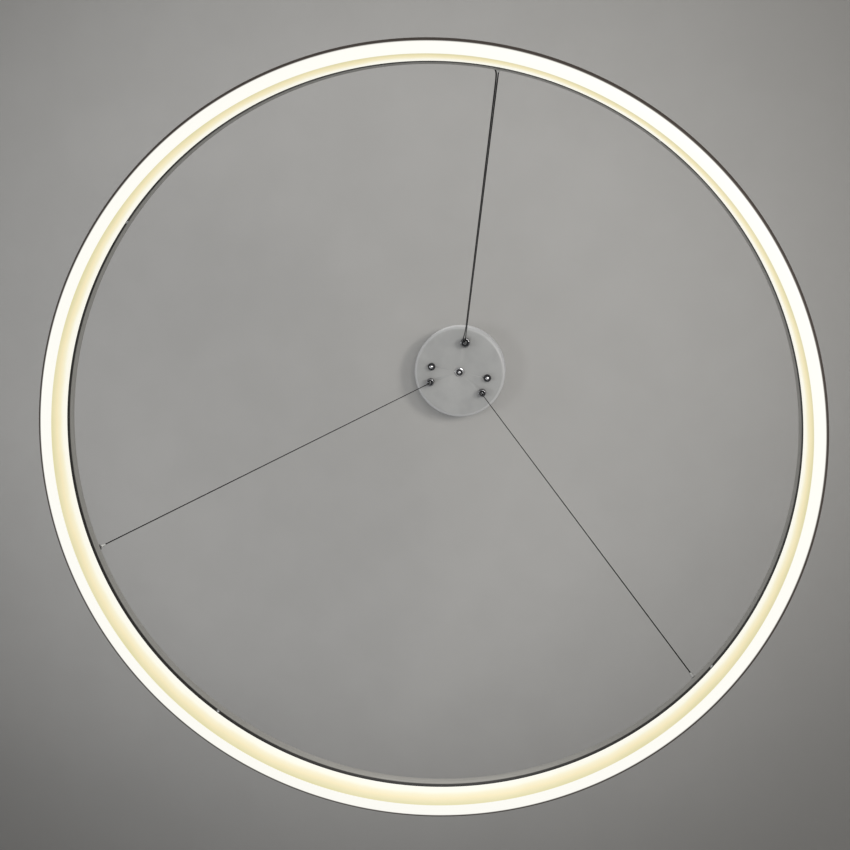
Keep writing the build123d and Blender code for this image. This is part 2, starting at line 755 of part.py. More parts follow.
def make_boards():
    """Curved light boards under the web, their chips, screws and the links between them."""
    span = 360 / board_count
    gap = degrees(board_end_gap / ring_middle)
    top = web_under
    low = top - led_board_thickness
    inner = ring_middle - board_width / 2
    outer = ring_middle + board_width / 2
    chips, links, screws = [], [], []
    for board in range(board_count):
        start = seam_angle + span * board
        arc = turned((inner, low), (outer, low), (outer, top), (inner, top), arc=span - gap)
        arc = Rot(0, 0, start + gap / 2) * arc
        for angle in board_screw_angles():
            arc -= on_ring(angle) * rod(board_screw_radius + screw_fit, low, top)
        save(f"led_board_{board + 1}", arc)
        for chip in range(chips_per_board):
            angle = start + span * (chip + 0.5) / chips_per_board
            low_corner = (-chip_width / 2, -chip_length / 2, low - chip_height)
            high_corner = (chip_width / 2, chip_length / 2, low)
            chips.append(on_ring(angle) * block(low_corner, high_corner))
        low_corner = (-link_width / 2, -link_length / 2, low - link_height)
        high_corner = (link_width / 2, link_length / 2, low)
        links.append(on_ring(start) * block(low_corner, high_corner))
    for angle in board_screw_angles():
        head = low - board_screw_head_height
        end = low + board_screw_length
        screws.append(on_ring(angle) * turned(
            (0, head), (board_screw_head_radius, head), (board_screw_head_radius, low),
            (board_screw_radius, low), (board_screw_radius, end), (0, end)))
    save("led_chips", *chips)
    save("board_links", *links)
    save("board_screws", *screws)


def make_anchors():
    """The hollow screws that hold the ropes' ends on the ring, their nuts and the rope stops."""
    lip = ring_top + anchor_height
    throat = lip - anchor_throat_depth
    seat = throat - (anchor_bore_radius - anchor_throat_radius)
    end = web_top + anchor_nut_gap
    anchor = turned(
        (anchor_bore_radius, end), (anchor_shank_radius, end), (anchor_shank_radius, ring_top),
        (anchor_radius, ring_top), (anchor_radius, ring_top + anchor_height * 0.5),
        (anchor_lip_radius, lip), (anchor_mouth_radius, lip), (anchor_throat_radius, throat),
        (anchor_bore_radius, seat))
    flats = 2 * (anchor_shank_radius + anchor_nut_rim)
    nut = Rot(0, 0, 30) * hex_nut(flats, anchor_shank_radius + thread_fit, end, anchor_nut_height)
    ball = stop_ball_radius
    neck_foot = (ball**2 - stop_neck_radius**2) ** 0.5
    barrel = stop_neck_length + stop_barrel_length
    outline = make_face(
        CenterArc((0, 0), ball, -90, 90 + degrees(atan2(neck_foot, stop_neck_radius)))
        + Line((stop_neck_radius, neck_foot), (stop_neck_radius, stop_neck_length))
        + Line((stop_neck_radius, stop_neck_length), (stop_barrel_radius, stop_neck_length))
        + Line((stop_barrel_radius, stop_neck_length), (stop_barrel_radius, barrel))
        + Line((stop_barrel_radius, barrel), (0, barrel))
        + Line((0, barrel), (0, -ball)))
    stop = Pos(0, 0, stop_centre) * Rot(0, -rope_slant, 0) * revolve(Plane.XZ * outline, Axis.Z)
    places = [on_ring(angle) for angle in rope_angles]
    save("rope_anchors", *[place * anchor for place in places])
    save("anchor_nuts", *[place * nut for place in places])
    save("rope_stops", *[place * stop for place in places])


def grommet_place():
    """The grommet stands beside rope 1's anchor, on the side where the lead comes down."""
    return on_ring(rope_angles[0]) * Pos(0, -grommet_offset, 0)


def make_grommet():
    """The rubber grommet in the frame's top, and the lead from it down through the web to the first board."""
    hole = lead_radius + grommet_fit
    groove = frame_wall + grommet_fit
    low = ring_top - groove
    grommet = turned(
        (hole, low - grommet_lip), (grommet_radius, low - grommet_lip), (grommet_radius, low),
        (grommet_waist_radius, low), (grommet_waist_radius, ring_top), (grommet_radius, ring_top),
        (grommet_radius - 0.6, ring_top + grommet_lip), (hole, ring_top + grommet_lip))
    save("lead_grommet", grommet_place() * grommet)
    save("ring_lead", grommet_place() * rod(lead_radius, web_under, ring_top + grommet_lip))


# ---------------------------------------------------------------- build

make_bracket()
make_studs()
make_cover()
make_centre_plug()
make_cage_plugs()
for number in range(rope_count):
    make_gripper_body(number)
    make_plunger(number)
    make_jaws(number)
    make_spring(number)
    make_rope_tail(number)
    make_rope(number)
make_driver()
make_terminals()
make_input_leads()
make_output_lead()
make_power_lead()
make_ring_frame()
make_lens()
make_lens_screws()
make_splice()
make_boards()
make_anchors()
make_grommet()
print(f"ropes lean {rope_slant:.1f} degrees and are {hypot(rope_spread, rope_fall):.0f} mm long")
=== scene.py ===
"""Looks of the LED ring chandelier: camera, cords, turned fittings, ring, canopy, finishes and lights."""
import bpy
from math import atan2, cos, hypot, pi, radians, sin, sqrt
from mathutils import Matrix, Vector


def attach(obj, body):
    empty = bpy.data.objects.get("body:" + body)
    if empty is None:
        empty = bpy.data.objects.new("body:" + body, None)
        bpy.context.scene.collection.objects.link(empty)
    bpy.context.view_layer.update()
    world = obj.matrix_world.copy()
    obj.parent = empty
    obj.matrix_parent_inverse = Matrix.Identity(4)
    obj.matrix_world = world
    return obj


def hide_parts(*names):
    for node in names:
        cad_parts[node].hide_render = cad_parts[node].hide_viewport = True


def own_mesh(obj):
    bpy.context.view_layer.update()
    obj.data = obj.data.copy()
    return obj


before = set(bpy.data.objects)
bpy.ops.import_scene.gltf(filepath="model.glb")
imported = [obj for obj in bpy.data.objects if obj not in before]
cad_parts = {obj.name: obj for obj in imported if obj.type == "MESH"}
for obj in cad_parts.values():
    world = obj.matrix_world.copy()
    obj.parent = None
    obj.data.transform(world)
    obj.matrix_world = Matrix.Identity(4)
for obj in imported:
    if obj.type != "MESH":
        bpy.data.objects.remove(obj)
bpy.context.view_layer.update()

# ---------- sizes shared with the solids, in metres

canopy_radius = 0.076
canopy_wall = 0.0012
canopy_edge = 0.006
cover_face = -0.038
cover_inside = -0.0368
stud_side = 0.0475
ring_outer = 0.400
ring_inner = 0.3845
ring_middle = 0.39225
ring_bottom = -0.710
ring_top = -0.655
frame_wall = 0.0015
brow = -0.672
web_under = -0.666
web_top = -0.6645
channel_top = -0.6565
lens_corner = 0.006
frame_foot = -0.702
seam_angle = 140.0
gripper_circle = 0.051
gripper_bottom = -0.051
neck_top = -0.027
plunger_mouth = -0.055
rope_diameter = 0.0012
lead_diameter = 0.0016
lead_side = 0.00465
rope_angles = (90.0, -30.0, -150.0)
rope_slant = 29.83
stop_centre = -0.650006
grommet_side = 0.012
lit_height = 0.038

# ---------- how finely pieces are made

rope_step = 0.0008
rope_twist = 0.0085
free_fullness = 1.17
drill_turn = 1.7
same_spot = 2e-6


def on_canopy(index, x, y, z):
    """A point in a gripper's own frame (x away from the canopy's middle), in the shared frame."""
    turn = radians(rope_angles[index])
    out = gripper_circle + x
    return (out * cos(turn) - y * sin(turn), out * sin(turn) + y * cos(turn), z)


# ---------- camera

def add_camera():
    """The photograph's place: under the ring, looking up a little off its axis."""
    lens = bpy.data.cameras.new("camera")
    lens.sensor_width = 36.0
    lens.lens = 41.94
    lens.clip_end = 30.0
    camera = bpy.data.objects.new("camera", lens)
    camera.location = (-0.05787, 0.22099, -1.68049)
    camera.rotation_euler = (2.96367, -0.09519, 2.9502)
    bpy.context.collection.objects.link(camera)
    bpy.context.scene.camera = camera


# ---------- cords

def route_line(name, route):
    """The cord's smooth line: a NURBS spline whose control points are the route's, and its points."""
    line = bpy.data.curves.new(name, "CURVE")
    line.dimensions = "3D"
    line.resolution_u = 200
    spline = line.splines.new("NURBS")
    spline.points.add(len(route) - 1)
    for control, place in zip(spline.points, route):
        control.co = (*place, 1.0)
    spline.order_u = 3
    spline.use_endpoint_u = True
    holder = bpy.data.objects.new(name, line)
    bpy.context.collection.objects.link(holder)
    bpy.context.view_layer.update()
    read = bpy.data.meshes.new_from_object(holder)
    points = [vertex.co.copy() for vertex in read.vertices]
    bpy.data.meshes.remove(read)
    bpy.data.objects.remove(holder)
    bpy.data.curves.remove(line)
    return points


def even_steps(points, step):
    """The same line walked in equal steps."""
    lengths = [0.0]
    for one, two in zip(points, points[1:]):
        lengths.append(lengths[-1] + (two - one).length)
    count = max(2, round(lengths[-1] / step))
    walked = []
    at = 0
    for number in range(count + 1):
        want = lengths[-1] * number / count
        while at < len(points) - 2 and lengths[at + 1] < want:
            at += 1
        span = max(lengths[at + 1] - lengths[at], 1e-12)
        walked.append(points[at].lerp(points[at + 1], (want - lengths[at]) / span))
    return walked, lengths[-1]


def carried_frames(points):
    """A side and an up direction at each point, carried along the line without a twist of their own."""
    frames = []
    ahead = (points[1] - points[0]).normalized()
    side = ahead.orthogonal().normalized()
    for number, point in enumerate(points):
        before = points[max(number - 1, 0)]
        after = points[min(number + 1, len(points) - 1)]
        ahead = (after - before).normalized()
        side = (side - ahead * side.dot(ahead)).normalized()
        frames.append((point, side, ahead.cross(side)))
    return frames


def skin(name, points, outline, twist=0.0, share=1.0):
    """A tube whose outline, a list of (angle, radius), goes round once every twist metres along the line."""
    around = len(outline)
    step = (points[1] - points[0]).length
    places, faces, marks = [], [], []
    for number, (point, side, up) in enumerate(carried_frames(points)):
        turn = 2 * pi * number * step / twist if twist else 0.0
        for angle, radius in outline:
            places.append(point + side * (radius * cos(angle + turn)) + up * (radius * sin(angle + turn)))
    rows = len(points)
    for row in range(rows - 1):
        for column in range(around):
            nearer = row * around + column
            beside = row * around + (column + 1) % around
            faces.append((nearer, beside, beside + around, nearer + around))
            marks.append((row, column))
    faces.append(tuple(reversed(range(around))))
    faces.append(tuple(range((rows - 1) * around, rows * around)))
    mesh = bpy.data.meshes.new(name)
    mesh.from_pydata(places, [], faces)
    wrap = mesh.uv_layers.new(name="along")
    for face, (row, column) in zip(mesh.polygons, marks):
        corners = ((column, row), (column + 1, row), (column + 1, row + 1), (column, row + 1))
        for loop, (u, v) in zip(face.loop_indices, corners):
            wrap.data[loop].uv = (u / around, v * step * share)
    mesh.polygons.foreach_set("use_smooth", [True] * len(mesh.polygons))
    mesh.update()
    piece = bpy.data.objects.new(name, mesh)
    bpy.context.collection.objects.link(piece)
    return piece


def strand_outline(fullness):
    """Six round strands about a core, as the rope's cut end shows them; fuller where nothing squeezes it."""
    strand = fullness * rope_diameter / 6
    reach = 2 * strand
    outline = []
    for number in range(6):
        for part in (-30, -18, -6, 6, 18):
            angle = radians(part)
            radius = reach * cos(angle) + sqrt(max(strand**2 - (reach * sin(angle))**2, 0.0))
            outline.append((radians(60 * number) + angle, radius))
    return outline


def lay_cord(name, node, body, look, route, diameter, step, outline, twist=0.0):
    """A cord along its route, with its look (slot and finish)."""
    points, length = even_steps(route_line(f"{name}_line", route), step)
    cord = skin(name, points, outline, twist, 1 / diameter)
    fit(cord, body, *look, node)
    return cord


def lay_rope(name, node, finish, route, fullness):
    """A steel rope, whose strands go round once every twist."""
    return lay_cord(name, node, "canopy", ("rope_steel", finish), route, rope_diameter, rope_step,
                    strand_outline(fullness), rope_twist)


def lay_lead(name, node, body, jacket, route, step):
    """A round black lead."""
    outline = [(2 * pi * number / 20, lead_diameter / 2) for number in range(20)]
    return lay_cord(name, node, body, ("black_lead", jacket), route, lead_diameter, step, outline, 0.0)


def add_rope(index, finish):
    """The taut rope from the plunger's mouth to its stop at the ring."""
    route = [on_canopy(index, *place) for place in (
        (0, 0, -0.055), (0, 0, -0.058), (0.0036, 0, -0.06424), (0.33503, 0, -0.63916))]
    rope = lay_rope(f"steel_rope_{index + 1}", f"rope_{index + 1}", finish, route, free_fullness)
    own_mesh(rope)


def add_power_lead(jacket):
    """The black lead that follows rope 1 down to its grommet in the ring."""
    route = [on_canopy(0, *place) for place in (
        (0, -0.00465, -0.051), (0, -0.00465, -0.059), (0.02389, -0.00158, -0.09665),
        (0.04610, -0.00158, -0.13540), (0.31100, -0.00158, -0.59730), (0.32800, -0.00158, -0.62720),
        (0.33550, -0.00220, -0.63850), (0.33950, -0.00800, -0.64350), (0.34125, -0.01200, -0.64620),
        (0.34125, -0.012, -0.65360))]
    lead = lay_lead("black_power_lead", "power_lead", "canopy", jacket, route, 0.0012)
    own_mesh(lead)


def add_rope_end(index, finish):
    """A rope's free end: up through its gripper, and aside in the canopy."""
    swing = -1 if index == 0 else 1
    route = [on_canopy(index, *place) for place in (
        (0, 0, -0.055), (0, 0, -0.0277), (0, 0, -0.017), (0.0015, 0.008 * swing, -0.010),
        (0.0020, 0.026 * swing, -0.0095))]
    lay_rope(f"rope_end_{index + 1}", f"rope_tail_{index + 1}", finish, route, 1.0)


def add_hidden_leads(jacket):
    """The driver's output lead, and the power lead's last stretch in the ring."""
    output_route = [Vector(place) for place in (
        (0.0382, 0.022, -0.0095), (0.054, 0.023, -0.0095), (0.05204, 0.04299, -0.0105),
        (0.03163, 0.05963, -0.0125), (0.01265, 0.060, -0.0115), (0.00865, 0.056, -0.010),
        (0.00465, 0.051, -0.0175), (0.00465, 0.051, -0.028), (0.00465, 0.051, -0.051))]
    lay_lead("driver_output_lead", "output_lead", "canopy", jacket, output_route, 0.001)
    ring_route = [on_canopy(0, 0.34125, -0.012, height) for height in (-0.6536, -0.6598, -0.6660)]
    lay_lead("lead_in_ring", "ring_lead", "ring", jacket, ring_route, 0.001)


# ---------- hands: how pieces are modelled

def begin():
    """Nothing is selected before a new piece is started."""
    if bpy.context.object and bpy.context.object.mode != "OBJECT":
        bpy.ops.object.mode_set(mode="OBJECT")
    bpy.ops.object.select_all(action="DESELECT")


def take(piece):
    """Pick one piece up."""
    begin()
    piece.select_set(True)
    bpy.context.view_layer.objects.active = piece


def edit(piece):
    """Pick one piece up and open its mesh."""
    take(piece)
    bpy.ops.object.mode_set(mode="EDIT")


def leave():
    """Close the mesh again."""
    bpy.ops.object.mode_set(mode="OBJECT")


def settle(piece):
    """The piece's place goes into its mesh."""
    take(piece)
    bpy.ops.object.transform_apply(location=True, rotation=True, scale=True)


def turn_up(name, courses, steps=64, x=0.0, y=0.0, foot=False, head=""):
    """Turn a piece on an upright axis: a circle is extruded and widened, course by course, up its outline.

    foot closes the first course; head is "flat" or "point" for the last one, or else the outline joins up."""
    begin()
    radius, height = courses[0]
    bpy.ops.mesh.primitive_circle_add(vertices=steps, radius=radius, location=(x, y, height),
                                      fill_type="NGON" if foot else "NOTHING")
    piece = bpy.context.object
    piece.name = piece.data.name = name
    bpy.ops.object.mode_set(mode="EDIT")
    bpy.ops.mesh.select_all(action="SELECT")
    for next_radius, next_height in courses[1:]:
        bpy.ops.mesh.extrude_edges_move(TRANSFORM_OT_translate={"value": (0, 0, next_height - height)})
        share = next_radius / radius
        bpy.ops.transform.resize(value=(share, share, 1), center_override=(x, y, next_height))
        radius, height = next_radius, next_height
    if head == "flat":
        bpy.ops.mesh.edge_face_add()
    elif head == "point":
        bpy.ops.mesh.merge(type="CENTER")
    bpy.ops.mesh.select_all(action="SELECT")
    bpy.ops.mesh.remove_doubles(threshold=same_spot)
    bpy.ops.mesh.normals_make_consistent(inside=False)
    leave()
    settle(piece)
    return piece


def soften(piece, width, segments=2, sharper_than=35):
    """Break the sharp edges by a hair and shade the rest smooth."""
    take(piece)
    bevel = piece.modifiers.new("broken edges", "BEVEL")
    bevel.width = width
    bevel.segments = segments
    bevel.limit_method = "ANGLE"
    bevel.angle_limit = radians(sharper_than)
    bpy.ops.object.modifier_apply(modifier=bevel.name)
    bpy.ops.object.shade_smooth_by_angle(angle=radians(sharper_than))
    return piece


def smooth(piece, sharper_than=35):
    """Shade all but the sharp edges smooth."""
    take(piece)
    bpy.ops.object.shade_smooth_by_angle(angle=radians(sharper_than))
    return piece


def cut(piece, cutter):
    """Take the cutter's shape out of the piece, and put the cutter away."""
    take(piece)
    boolean = piece.modifiers.new("cut", "BOOLEAN")
    boolean.operation = "DIFFERENCE"
    boolean.solver = "EXACT"
    boolean.object = cutter
    bpy.ops.object.modifier_apply(modifier=boolean.name)
    put_away(cutter)


def put_away(piece):
    """A helper's object and mesh are removed."""
    mesh = piece.data
    bpy.data.objects.remove(piece)
    bpy.data.meshes.remove(mesh)


def drill(piece, radius, low, high, x, y):
    """An upright hole. The drill is turned a little, so that its corners miss the piece's own edges."""
    bit = turn_up("drill", [(radius, low), (radius, high)], 48, foot=True, head="flat")
    cut(piece, placed(bit, Matrix.Translation((x, y, 0)) @ Matrix.Rotation(radians(drill_turn), 4, "Z")))


def twin(piece, name, place):
    """A copy with its own mesh, put in its place."""
    copy = piece.copy()
    copy.data = piece.data.copy()
    copy.name = copy.data.name = name
    bpy.context.collection.objects.link(copy)
    copy.data.transform(place)
    copy.data.update()
    return copy


def placed(piece, place):
    """The piece's mesh is moved to its place."""
    piece.data.transform(place)
    piece.data.update()
    return piece


def fit(piece, body, slot, finish, *nodes):
    """Give a finished piece its finish, and hang it on its body in place of the nodes it stands for."""
    piece.data.materials.clear()
    piece.data.materials.append(finish)
    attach(piece, body)
    if nodes:
        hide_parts(*nodes)
    return piece


def gripper_place(index):
    """From the middle axis to a gripper's."""
    return Matrix.Rotation(radians(rope_angles[index]), 4, "Z") @ Matrix.Translation((gripper_circle, 0, 0))


def ring_place(angle):
    """From the middle axis to the ring's middle circle."""
    return Matrix.Rotation(radians(angle), 4, "Z") @ Matrix.Translation((ring_middle, 0, 0))


def arc(radius, centre_r, centre_z, start, end, count):
    """Courses of a rounded edge, from one angle to another in the (radius, height) plane."""
    courses = []
    for number in range(count + 1):
        angle = radians(start + (end - start) * number / count)
        courses.append((centre_r + radius * cos(angle), centre_z + radius * sin(angle)))
    return courses


# ---------- finishes

def put(tree, kind, **settings):
    """A shader node in the tree; a setting named after an input, with spaces as _, sets that input."""
    node = tree.nodes.new(f"ShaderNode{kind}")
    for name, value in settings.items():
        socket = node.inputs.get(name.replace("_", " ")) if name[0].isupper() else None
        if socket is None:
            setattr(node, name, value)
        elif isinstance(value, bpy.types.NodeSocket):
            tree.links.new(value, socket)
        else:
            socket.default_value = value
    return node


def reckon(tree, operation, one, two=None, three=None):
    """A Math node's result."""
    node = tree.nodes.new("ShaderNodeMath")
    node.operation = operation
    for socket, value in zip(node.inputs, (one, two, three)):
        if isinstance(value, bpy.types.NodeSocket):
            tree.links.new(value, socket)
        elif value is not None:
            socket.default_value = value
    return node.outputs[0]


def blended(tree, share, one, two):
    """Two colours mixed by a share."""
    node = tree.nodes.new("ShaderNodeMix")
    node.data_type = "RGBA"
    for socket, value in zip((node.inputs[0], node.inputs[6], node.inputs[7]), (share, one, two)):
        if isinstance(value, bpy.types.NodeSocket):
            tree.links.new(value, socket)
        else:
            socket.default_value = value if isinstance(value, float) else (*value, 1.0)
    return node.outputs[2]


def between(tree, value, low, high, out_low=0.0, out_high=1.0, easing="SMOOTHSTEP"):
    """A value mapped from one range to another."""
    node = tree.nodes.new("ShaderNodeMapRange")
    node.interpolation_type = easing
    tree.links.new(value, node.inputs[0])
    for socket, number in zip(node.inputs[1:5], (low, high, out_low, out_high)):
        socket.default_value = number
    return node.outputs[0]


def axes_of(tree, vector):
    """The three parts of a place or a direction."""
    return put(tree, "SeparateXYZ", Vector=vector).outputs


def from_axis(tree, place):
    """The distance from the upright middle axis."""
    axes = axes_of(tree, place)
    return reckon(tree, "SQRT", reckon(tree, "ADD", reckon(tree, "MULTIPLY", axes[0], axes[0]),
                                       reckon(tree, "MULTIPLY", axes[1], axes[1])))


def new_effect(name, takes, gives):
    """A node group for an effect that several finishes share."""
    tree = bpy.data.node_groups.new(name, "ShaderNodeTree")
    for socket, kind, value in takes:
        item = tree.interface.new_socket(socket, in_out="INPUT", socket_type=kind)
        if value is not None:
            item.default_value = value
    for socket in gives:
        tree.interface.new_socket(socket, in_out="OUTPUT", socket_type="NodeSocketFloat")
    return tree, tree.nodes.new("NodeGroupInput").outputs, tree.nodes.new("NodeGroupOutput").inputs


def make_fine_grain():
    """Fine lumps of one size, and a slow drift in tone."""
    tree, takes, gives = new_effect(
        "fine_grain", [("Place", "NodeSocketVector", None), ("Size", "NodeSocketFloat", 0.001)],
        ["Lumps", "Drift"])
    near = reckon(tree, "DIVIDE", 1.0, takes["Size"])
    far = reckon(tree, "DIVIDE", 0.04, takes["Size"])
    lumps = put(tree, "TexNoise", Vector=takes["Place"], Scale=near, Detail=2.0)
    drift = put(tree, "TexNoise", Vector=takes["Place"], Scale=far, Detail=3.0)
    tree.links.new(lumps.outputs[0], gives["Lumps"])
    tree.links.new(drift.outputs[0], gives["Drift"])
    return tree


def make_drawn_lines():
    """Lines left along a rolled section by its drawing and brushing: they run round the ring's axis."""
    tree, takes, gives = new_effect(
        "drawn_lines", [("Place", "NodeSocketVector", None), ("Spacing", "NodeSocketFloat", 0.0003)],
        ["Lines"])
    axes = axes_of(tree, takes["Place"])
    outline = reckon(tree, "ADD", from_axis(tree, takes["Place"]), axes[2])
    place = put(tree, "CombineXYZ", X=reckon(tree, "MULTIPLY", axes[0], 14.0),
                Y=reckon(tree, "MULTIPLY", axes[1], 14.0),
                Z=reckon(tree, "DIVIDE", outline, takes["Spacing"])).outputs[0]
    lines = put(tree, "TexNoise", Vector=place, Scale=1.0, Detail=2.0)
    tree.links.new(lines.outputs[0], gives["Lines"])
    return tree


def make_lathe_rings():
    """The fine rings that a tool leaves on a turned piece, read from the piece's own lathe map."""
    tree, takes, gives = new_effect(
        "lathe_rings", [("Along", "NodeSocketFloat", 0.0), ("Spacing", "NodeSocketFloat", 0.0002)], ["Rings"])
    count = reckon(tree, "DIVIDE", takes["Along"], takes["Spacing"])
    phase = reckon(tree, "MULTIPLY", count, 2 * pi)
    wave = reckon(tree, "MULTIPLY_ADD", reckon(tree, "SINE", phase), 0.5, 0.5)
    slow = put(tree, "TexNoise", noise_dimensions="1D", Detail=2.0, Scale=1.0,
               W=reckon(tree, "DIVIDE", count, 3.0)).outputs[0]
    tree.links.new(reckon(tree, "MULTIPLY", wave, slow), gives["Rings"])
    return tree


def make_handling():
    """Smears and finger marks: soft patches where the polish is a little duller."""
    tree, takes, gives = new_effect(
        "handling", [("Place", "NodeSocketVector", None), ("Size", "NodeSocketFloat", 0.006)], ["Marks"])
    rate = reckon(tree, "DIVIDE", 1.0, takes["Size"])
    patch = put(tree, "TexNoise", Vector=takes["Place"], Scale=rate, Detail=4.0, Roughness=0.65)
    tree.links.new(between(tree, patch.outputs[0], 0.42, 0.68), gives["Marks"])
    return tree


def make_settled_dust():
    """Dust on what faces up, thicker in patches."""
    tree, takes, gives = new_effect(
        "settled_dust", [("Place", "NodeSocketVector", None), ("Facing", "NodeSocketVector", None)], ["Dust"])
    up = between(tree, axes_of(tree, takes["Facing"])[2], 0.55, 0.98)
    cloud = put(tree, "TexNoise", Vector=takes["Place"], Scale=90.0, Detail=5.0, Roughness=0.7)
    specks = between(tree, cloud.outputs[0], 0.35, 0.75)
    tree.links.new(reckon(tree, "MULTIPLY", up, specks), gives["Dust"])
    return tree


fine_grain = make_fine_grain()
drawn_lines = make_drawn_lines()
lathe_rings = make_lathe_rings()
handling = make_handling()
settled_dust = make_settled_dust()


def use(tree, effect, **settings):
    """One of the shared effects, placed in a finish with its own values."""
    node = tree.nodes.new("ShaderNodeGroup")
    node.node_tree = effect
    for name, value in settings.items():
        if isinstance(value, bpy.types.NodeSocket):
            tree.links.new(value, node.inputs[name])
        else:
            node.inputs[name].default_value = value
    return node.outputs


def new_finish(name, **settings):
    """A finish's tree, its shader's inputs, and the place on the object."""
    finish = bpy.data.materials.new(name)
    finish.use_nodes = True
    tree = finish.node_tree
    shader = tree.nodes["Principled BSDF"]
    for key, value in settings.items():
        shader.inputs[key.replace("_", " ")].default_value = value
    place = tree.nodes.new("ShaderNodeTexCoord").outputs["Object"]
    return finish, tree, shader.inputs, place


def raise_bumps(tree, shader, height, strength, depth):
    """Relief from a height between 0 and 1."""
    bump = put(tree, "Bump", Height=height, Strength=strength, Distance=depth)
    tree.links.new(bump.outputs[0], shader["Normal"])


def coat(tree, shader, colour, mask, spread, rough):
    """Lay on the colour, and a roughness that grows from rough by spread where the mask is 1."""
    tree.links.new(colour, shader["Base Color"])
    tree.links.new(reckon(tree, "MULTIPLY_ADD", mask, spread, rough), shader["Roughness"])


def facing(tree):
    """The way the surface faces."""
    return tree.nodes.new("ShaderNodeNewGeometry").outputs["Normal"]


def canopy_paint():
    """Powder coat: a satin skin with a faint orange peel, and a painted highlight: paler over the rounded
    rim.
    """
    finish, tree, shader, place = new_finish("canopy_paint", Specular_IOR_Level=0.5, Coat_Roughness=0.25)
    grain = use(tree, fine_grain, Place=place, Size=0.0011)
    marks = use(tree, handling, Place=place, Size=0.02)["Marks"]
    dust = use(tree, settled_dust, Place=place, Facing=facing(tree))["Dust"]
    drift = between(tree, grain["Drift"], 0.3, 0.7)
    tone = blended(tree, drift, (0.335, 0.337, 0.330), (0.365, 0.367, 0.358))
    # painted highlight: a paler band over the rounded rim, where it catches the light
    rim = between(tree, from_axis(tree, place), 0.0708, 0.0735)
    tone = blended(tree, reckon(tree, "MULTIPLY", rim, 0.75), tone, (0.50, 0.50, 0.49))
    tone = blended(tree, reckon(tree, "MULTIPLY", dust, 0.35), tone, (0.44, 0.42, 0.38))
    coat(tree, shader, tone, marks, 0.12, 0.36)
    raise_bumps(tree, shader, grain["Lumps"], 0.10, 0.00004)
    return finish


def polished(name, light, dark, painted_glint_colour):
    """Dark nickel plating with tool rings and finger marks; on the rounded noses, a band picked by which way
    the surface faces is a painted glint, bright as a lamp's reflection.
    """
    finish, tree, shader, place = new_finish(name, Metallic=1.0)
    along = axes_of(tree, put(tree, "UVMap", uv_map="lathe").outputs[0])[1]
    rings = use(tree, lathe_rings, Along=along, Spacing=0.00025)["Rings"]
    marks = use(tree, handling, Place=place, Size=0.004)["Marks"]
    upward = axes_of(tree, facing(tree))[2]
    # painted glint: a bright band on the rounded noses, picked by which way they face
    painted_glint_band = reckon(tree, "MULTIPLY", between(tree, upward, -0.90, -0.95),
                    between(tree, upward, -0.9998, -0.9985))
    coat(tree, shader, blended(tree, painted_glint_band, blended(tree, marks, light, dark), painted_glint_colour), marks, 0.14, 0.06)
    raise_bumps(tree, shader, rings, 0.12, 0.00001)
    return finish


def plated_steel():
    """Zinc plating: pale spangles and a faint bluish cast."""
    finish, tree, shader, place = new_finish("zinc_steel", Metallic=1.0)
    cells = put(tree, "TexVoronoi", Vector=place, Scale=420.0, Randomness=1.0)
    spangle = axes_of(tree, cells.outputs["Color"])[0]
    grain = use(tree, fine_grain, Place=place, Size=0.0008)
    tone = blended(tree, spangle, (0.50, 0.52, 0.54), (0.64, 0.65, 0.66))
    coat(tree, shader, tone, spangle, 0.16, 0.28)
    raise_bumps(tree, shader, grain["Lumps"], 0.15, 0.00003)
    return finish


def turned_brass():
    """Plain brass, browner where it was handled."""
    finish, tree, shader, place = new_finish("brass", Metallic=1.0)
    grain = use(tree, fine_grain, Place=place, Size=0.0006)
    marks = use(tree, handling, Place=place, Size=0.003)["Marks"]
    coat(tree, shader, blended(tree, marks, (0.72, 0.54, 0.25), (0.52, 0.38, 0.18)), marks, 0.2, 0.22)
    raise_bumps(tree, shader, grain["Lumps"], 0.12, 0.00002)
    return finish


def rope_steel():
    """Stranded wire: slanting wire crowns, darker in the grooves between the strands."""
    finish, tree, shader, place = new_finish("rope_steel", Metallic=0.9)
    wrap = axes_of(tree, put(tree, "UVMap", uv_map="along").outputs[0])
    slant = reckon(tree, "MULTIPLY", wrap[1], 5.0)
    wires = reckon(tree, "ADD", reckon(tree, "MULTIPLY", wrap[0], 48 * pi), slant)
    crown = reckon(tree, "MULTIPLY_ADD", reckon(tree, "SINE", wires), 0.5, 0.5)
    strands = reckon(tree, "MULTIPLY", wrap[0], 12 * pi)
    groove = reckon(tree, "MULTIPLY_ADD", reckon(tree, "COSINE", strands), 0.5, 0.5)
    marks = use(tree, handling, Place=place, Size=0.012)["Marks"]
    tone = blended(tree, groove, (0.028, 0.028, 0.028), (0.010, 0.010, 0.009))
    tone = blended(tree, reckon(tree, "MULTIPLY", marks, 0.4), tone, (0.022, 0.021, 0.020))
    coat(tree, shader, tone, groove, 0.25, 0.34)
    raise_bumps(tree, shader, crown, 0.35, 0.00004)
    return finish


def pressed_sleeve():
    """Pale aluminium, scuffed by the pressing tool."""
    finish, tree, shader, place = new_finish("stop_metal", Metallic=1.0)
    grain = use(tree, fine_grain, Place=place, Size=0.0005)
    marks = use(tree, handling, Place=place, Size=0.002)["Marks"]
    coat(tree, shader, blended(tree, marks, (0.74, 0.74, 0.72), (0.60, 0.60, 0.58)), marks, 0.2, 0.34)
    raise_bumps(tree, shader, grain["Lumps"], 0.25, 0.00003)
    return finish


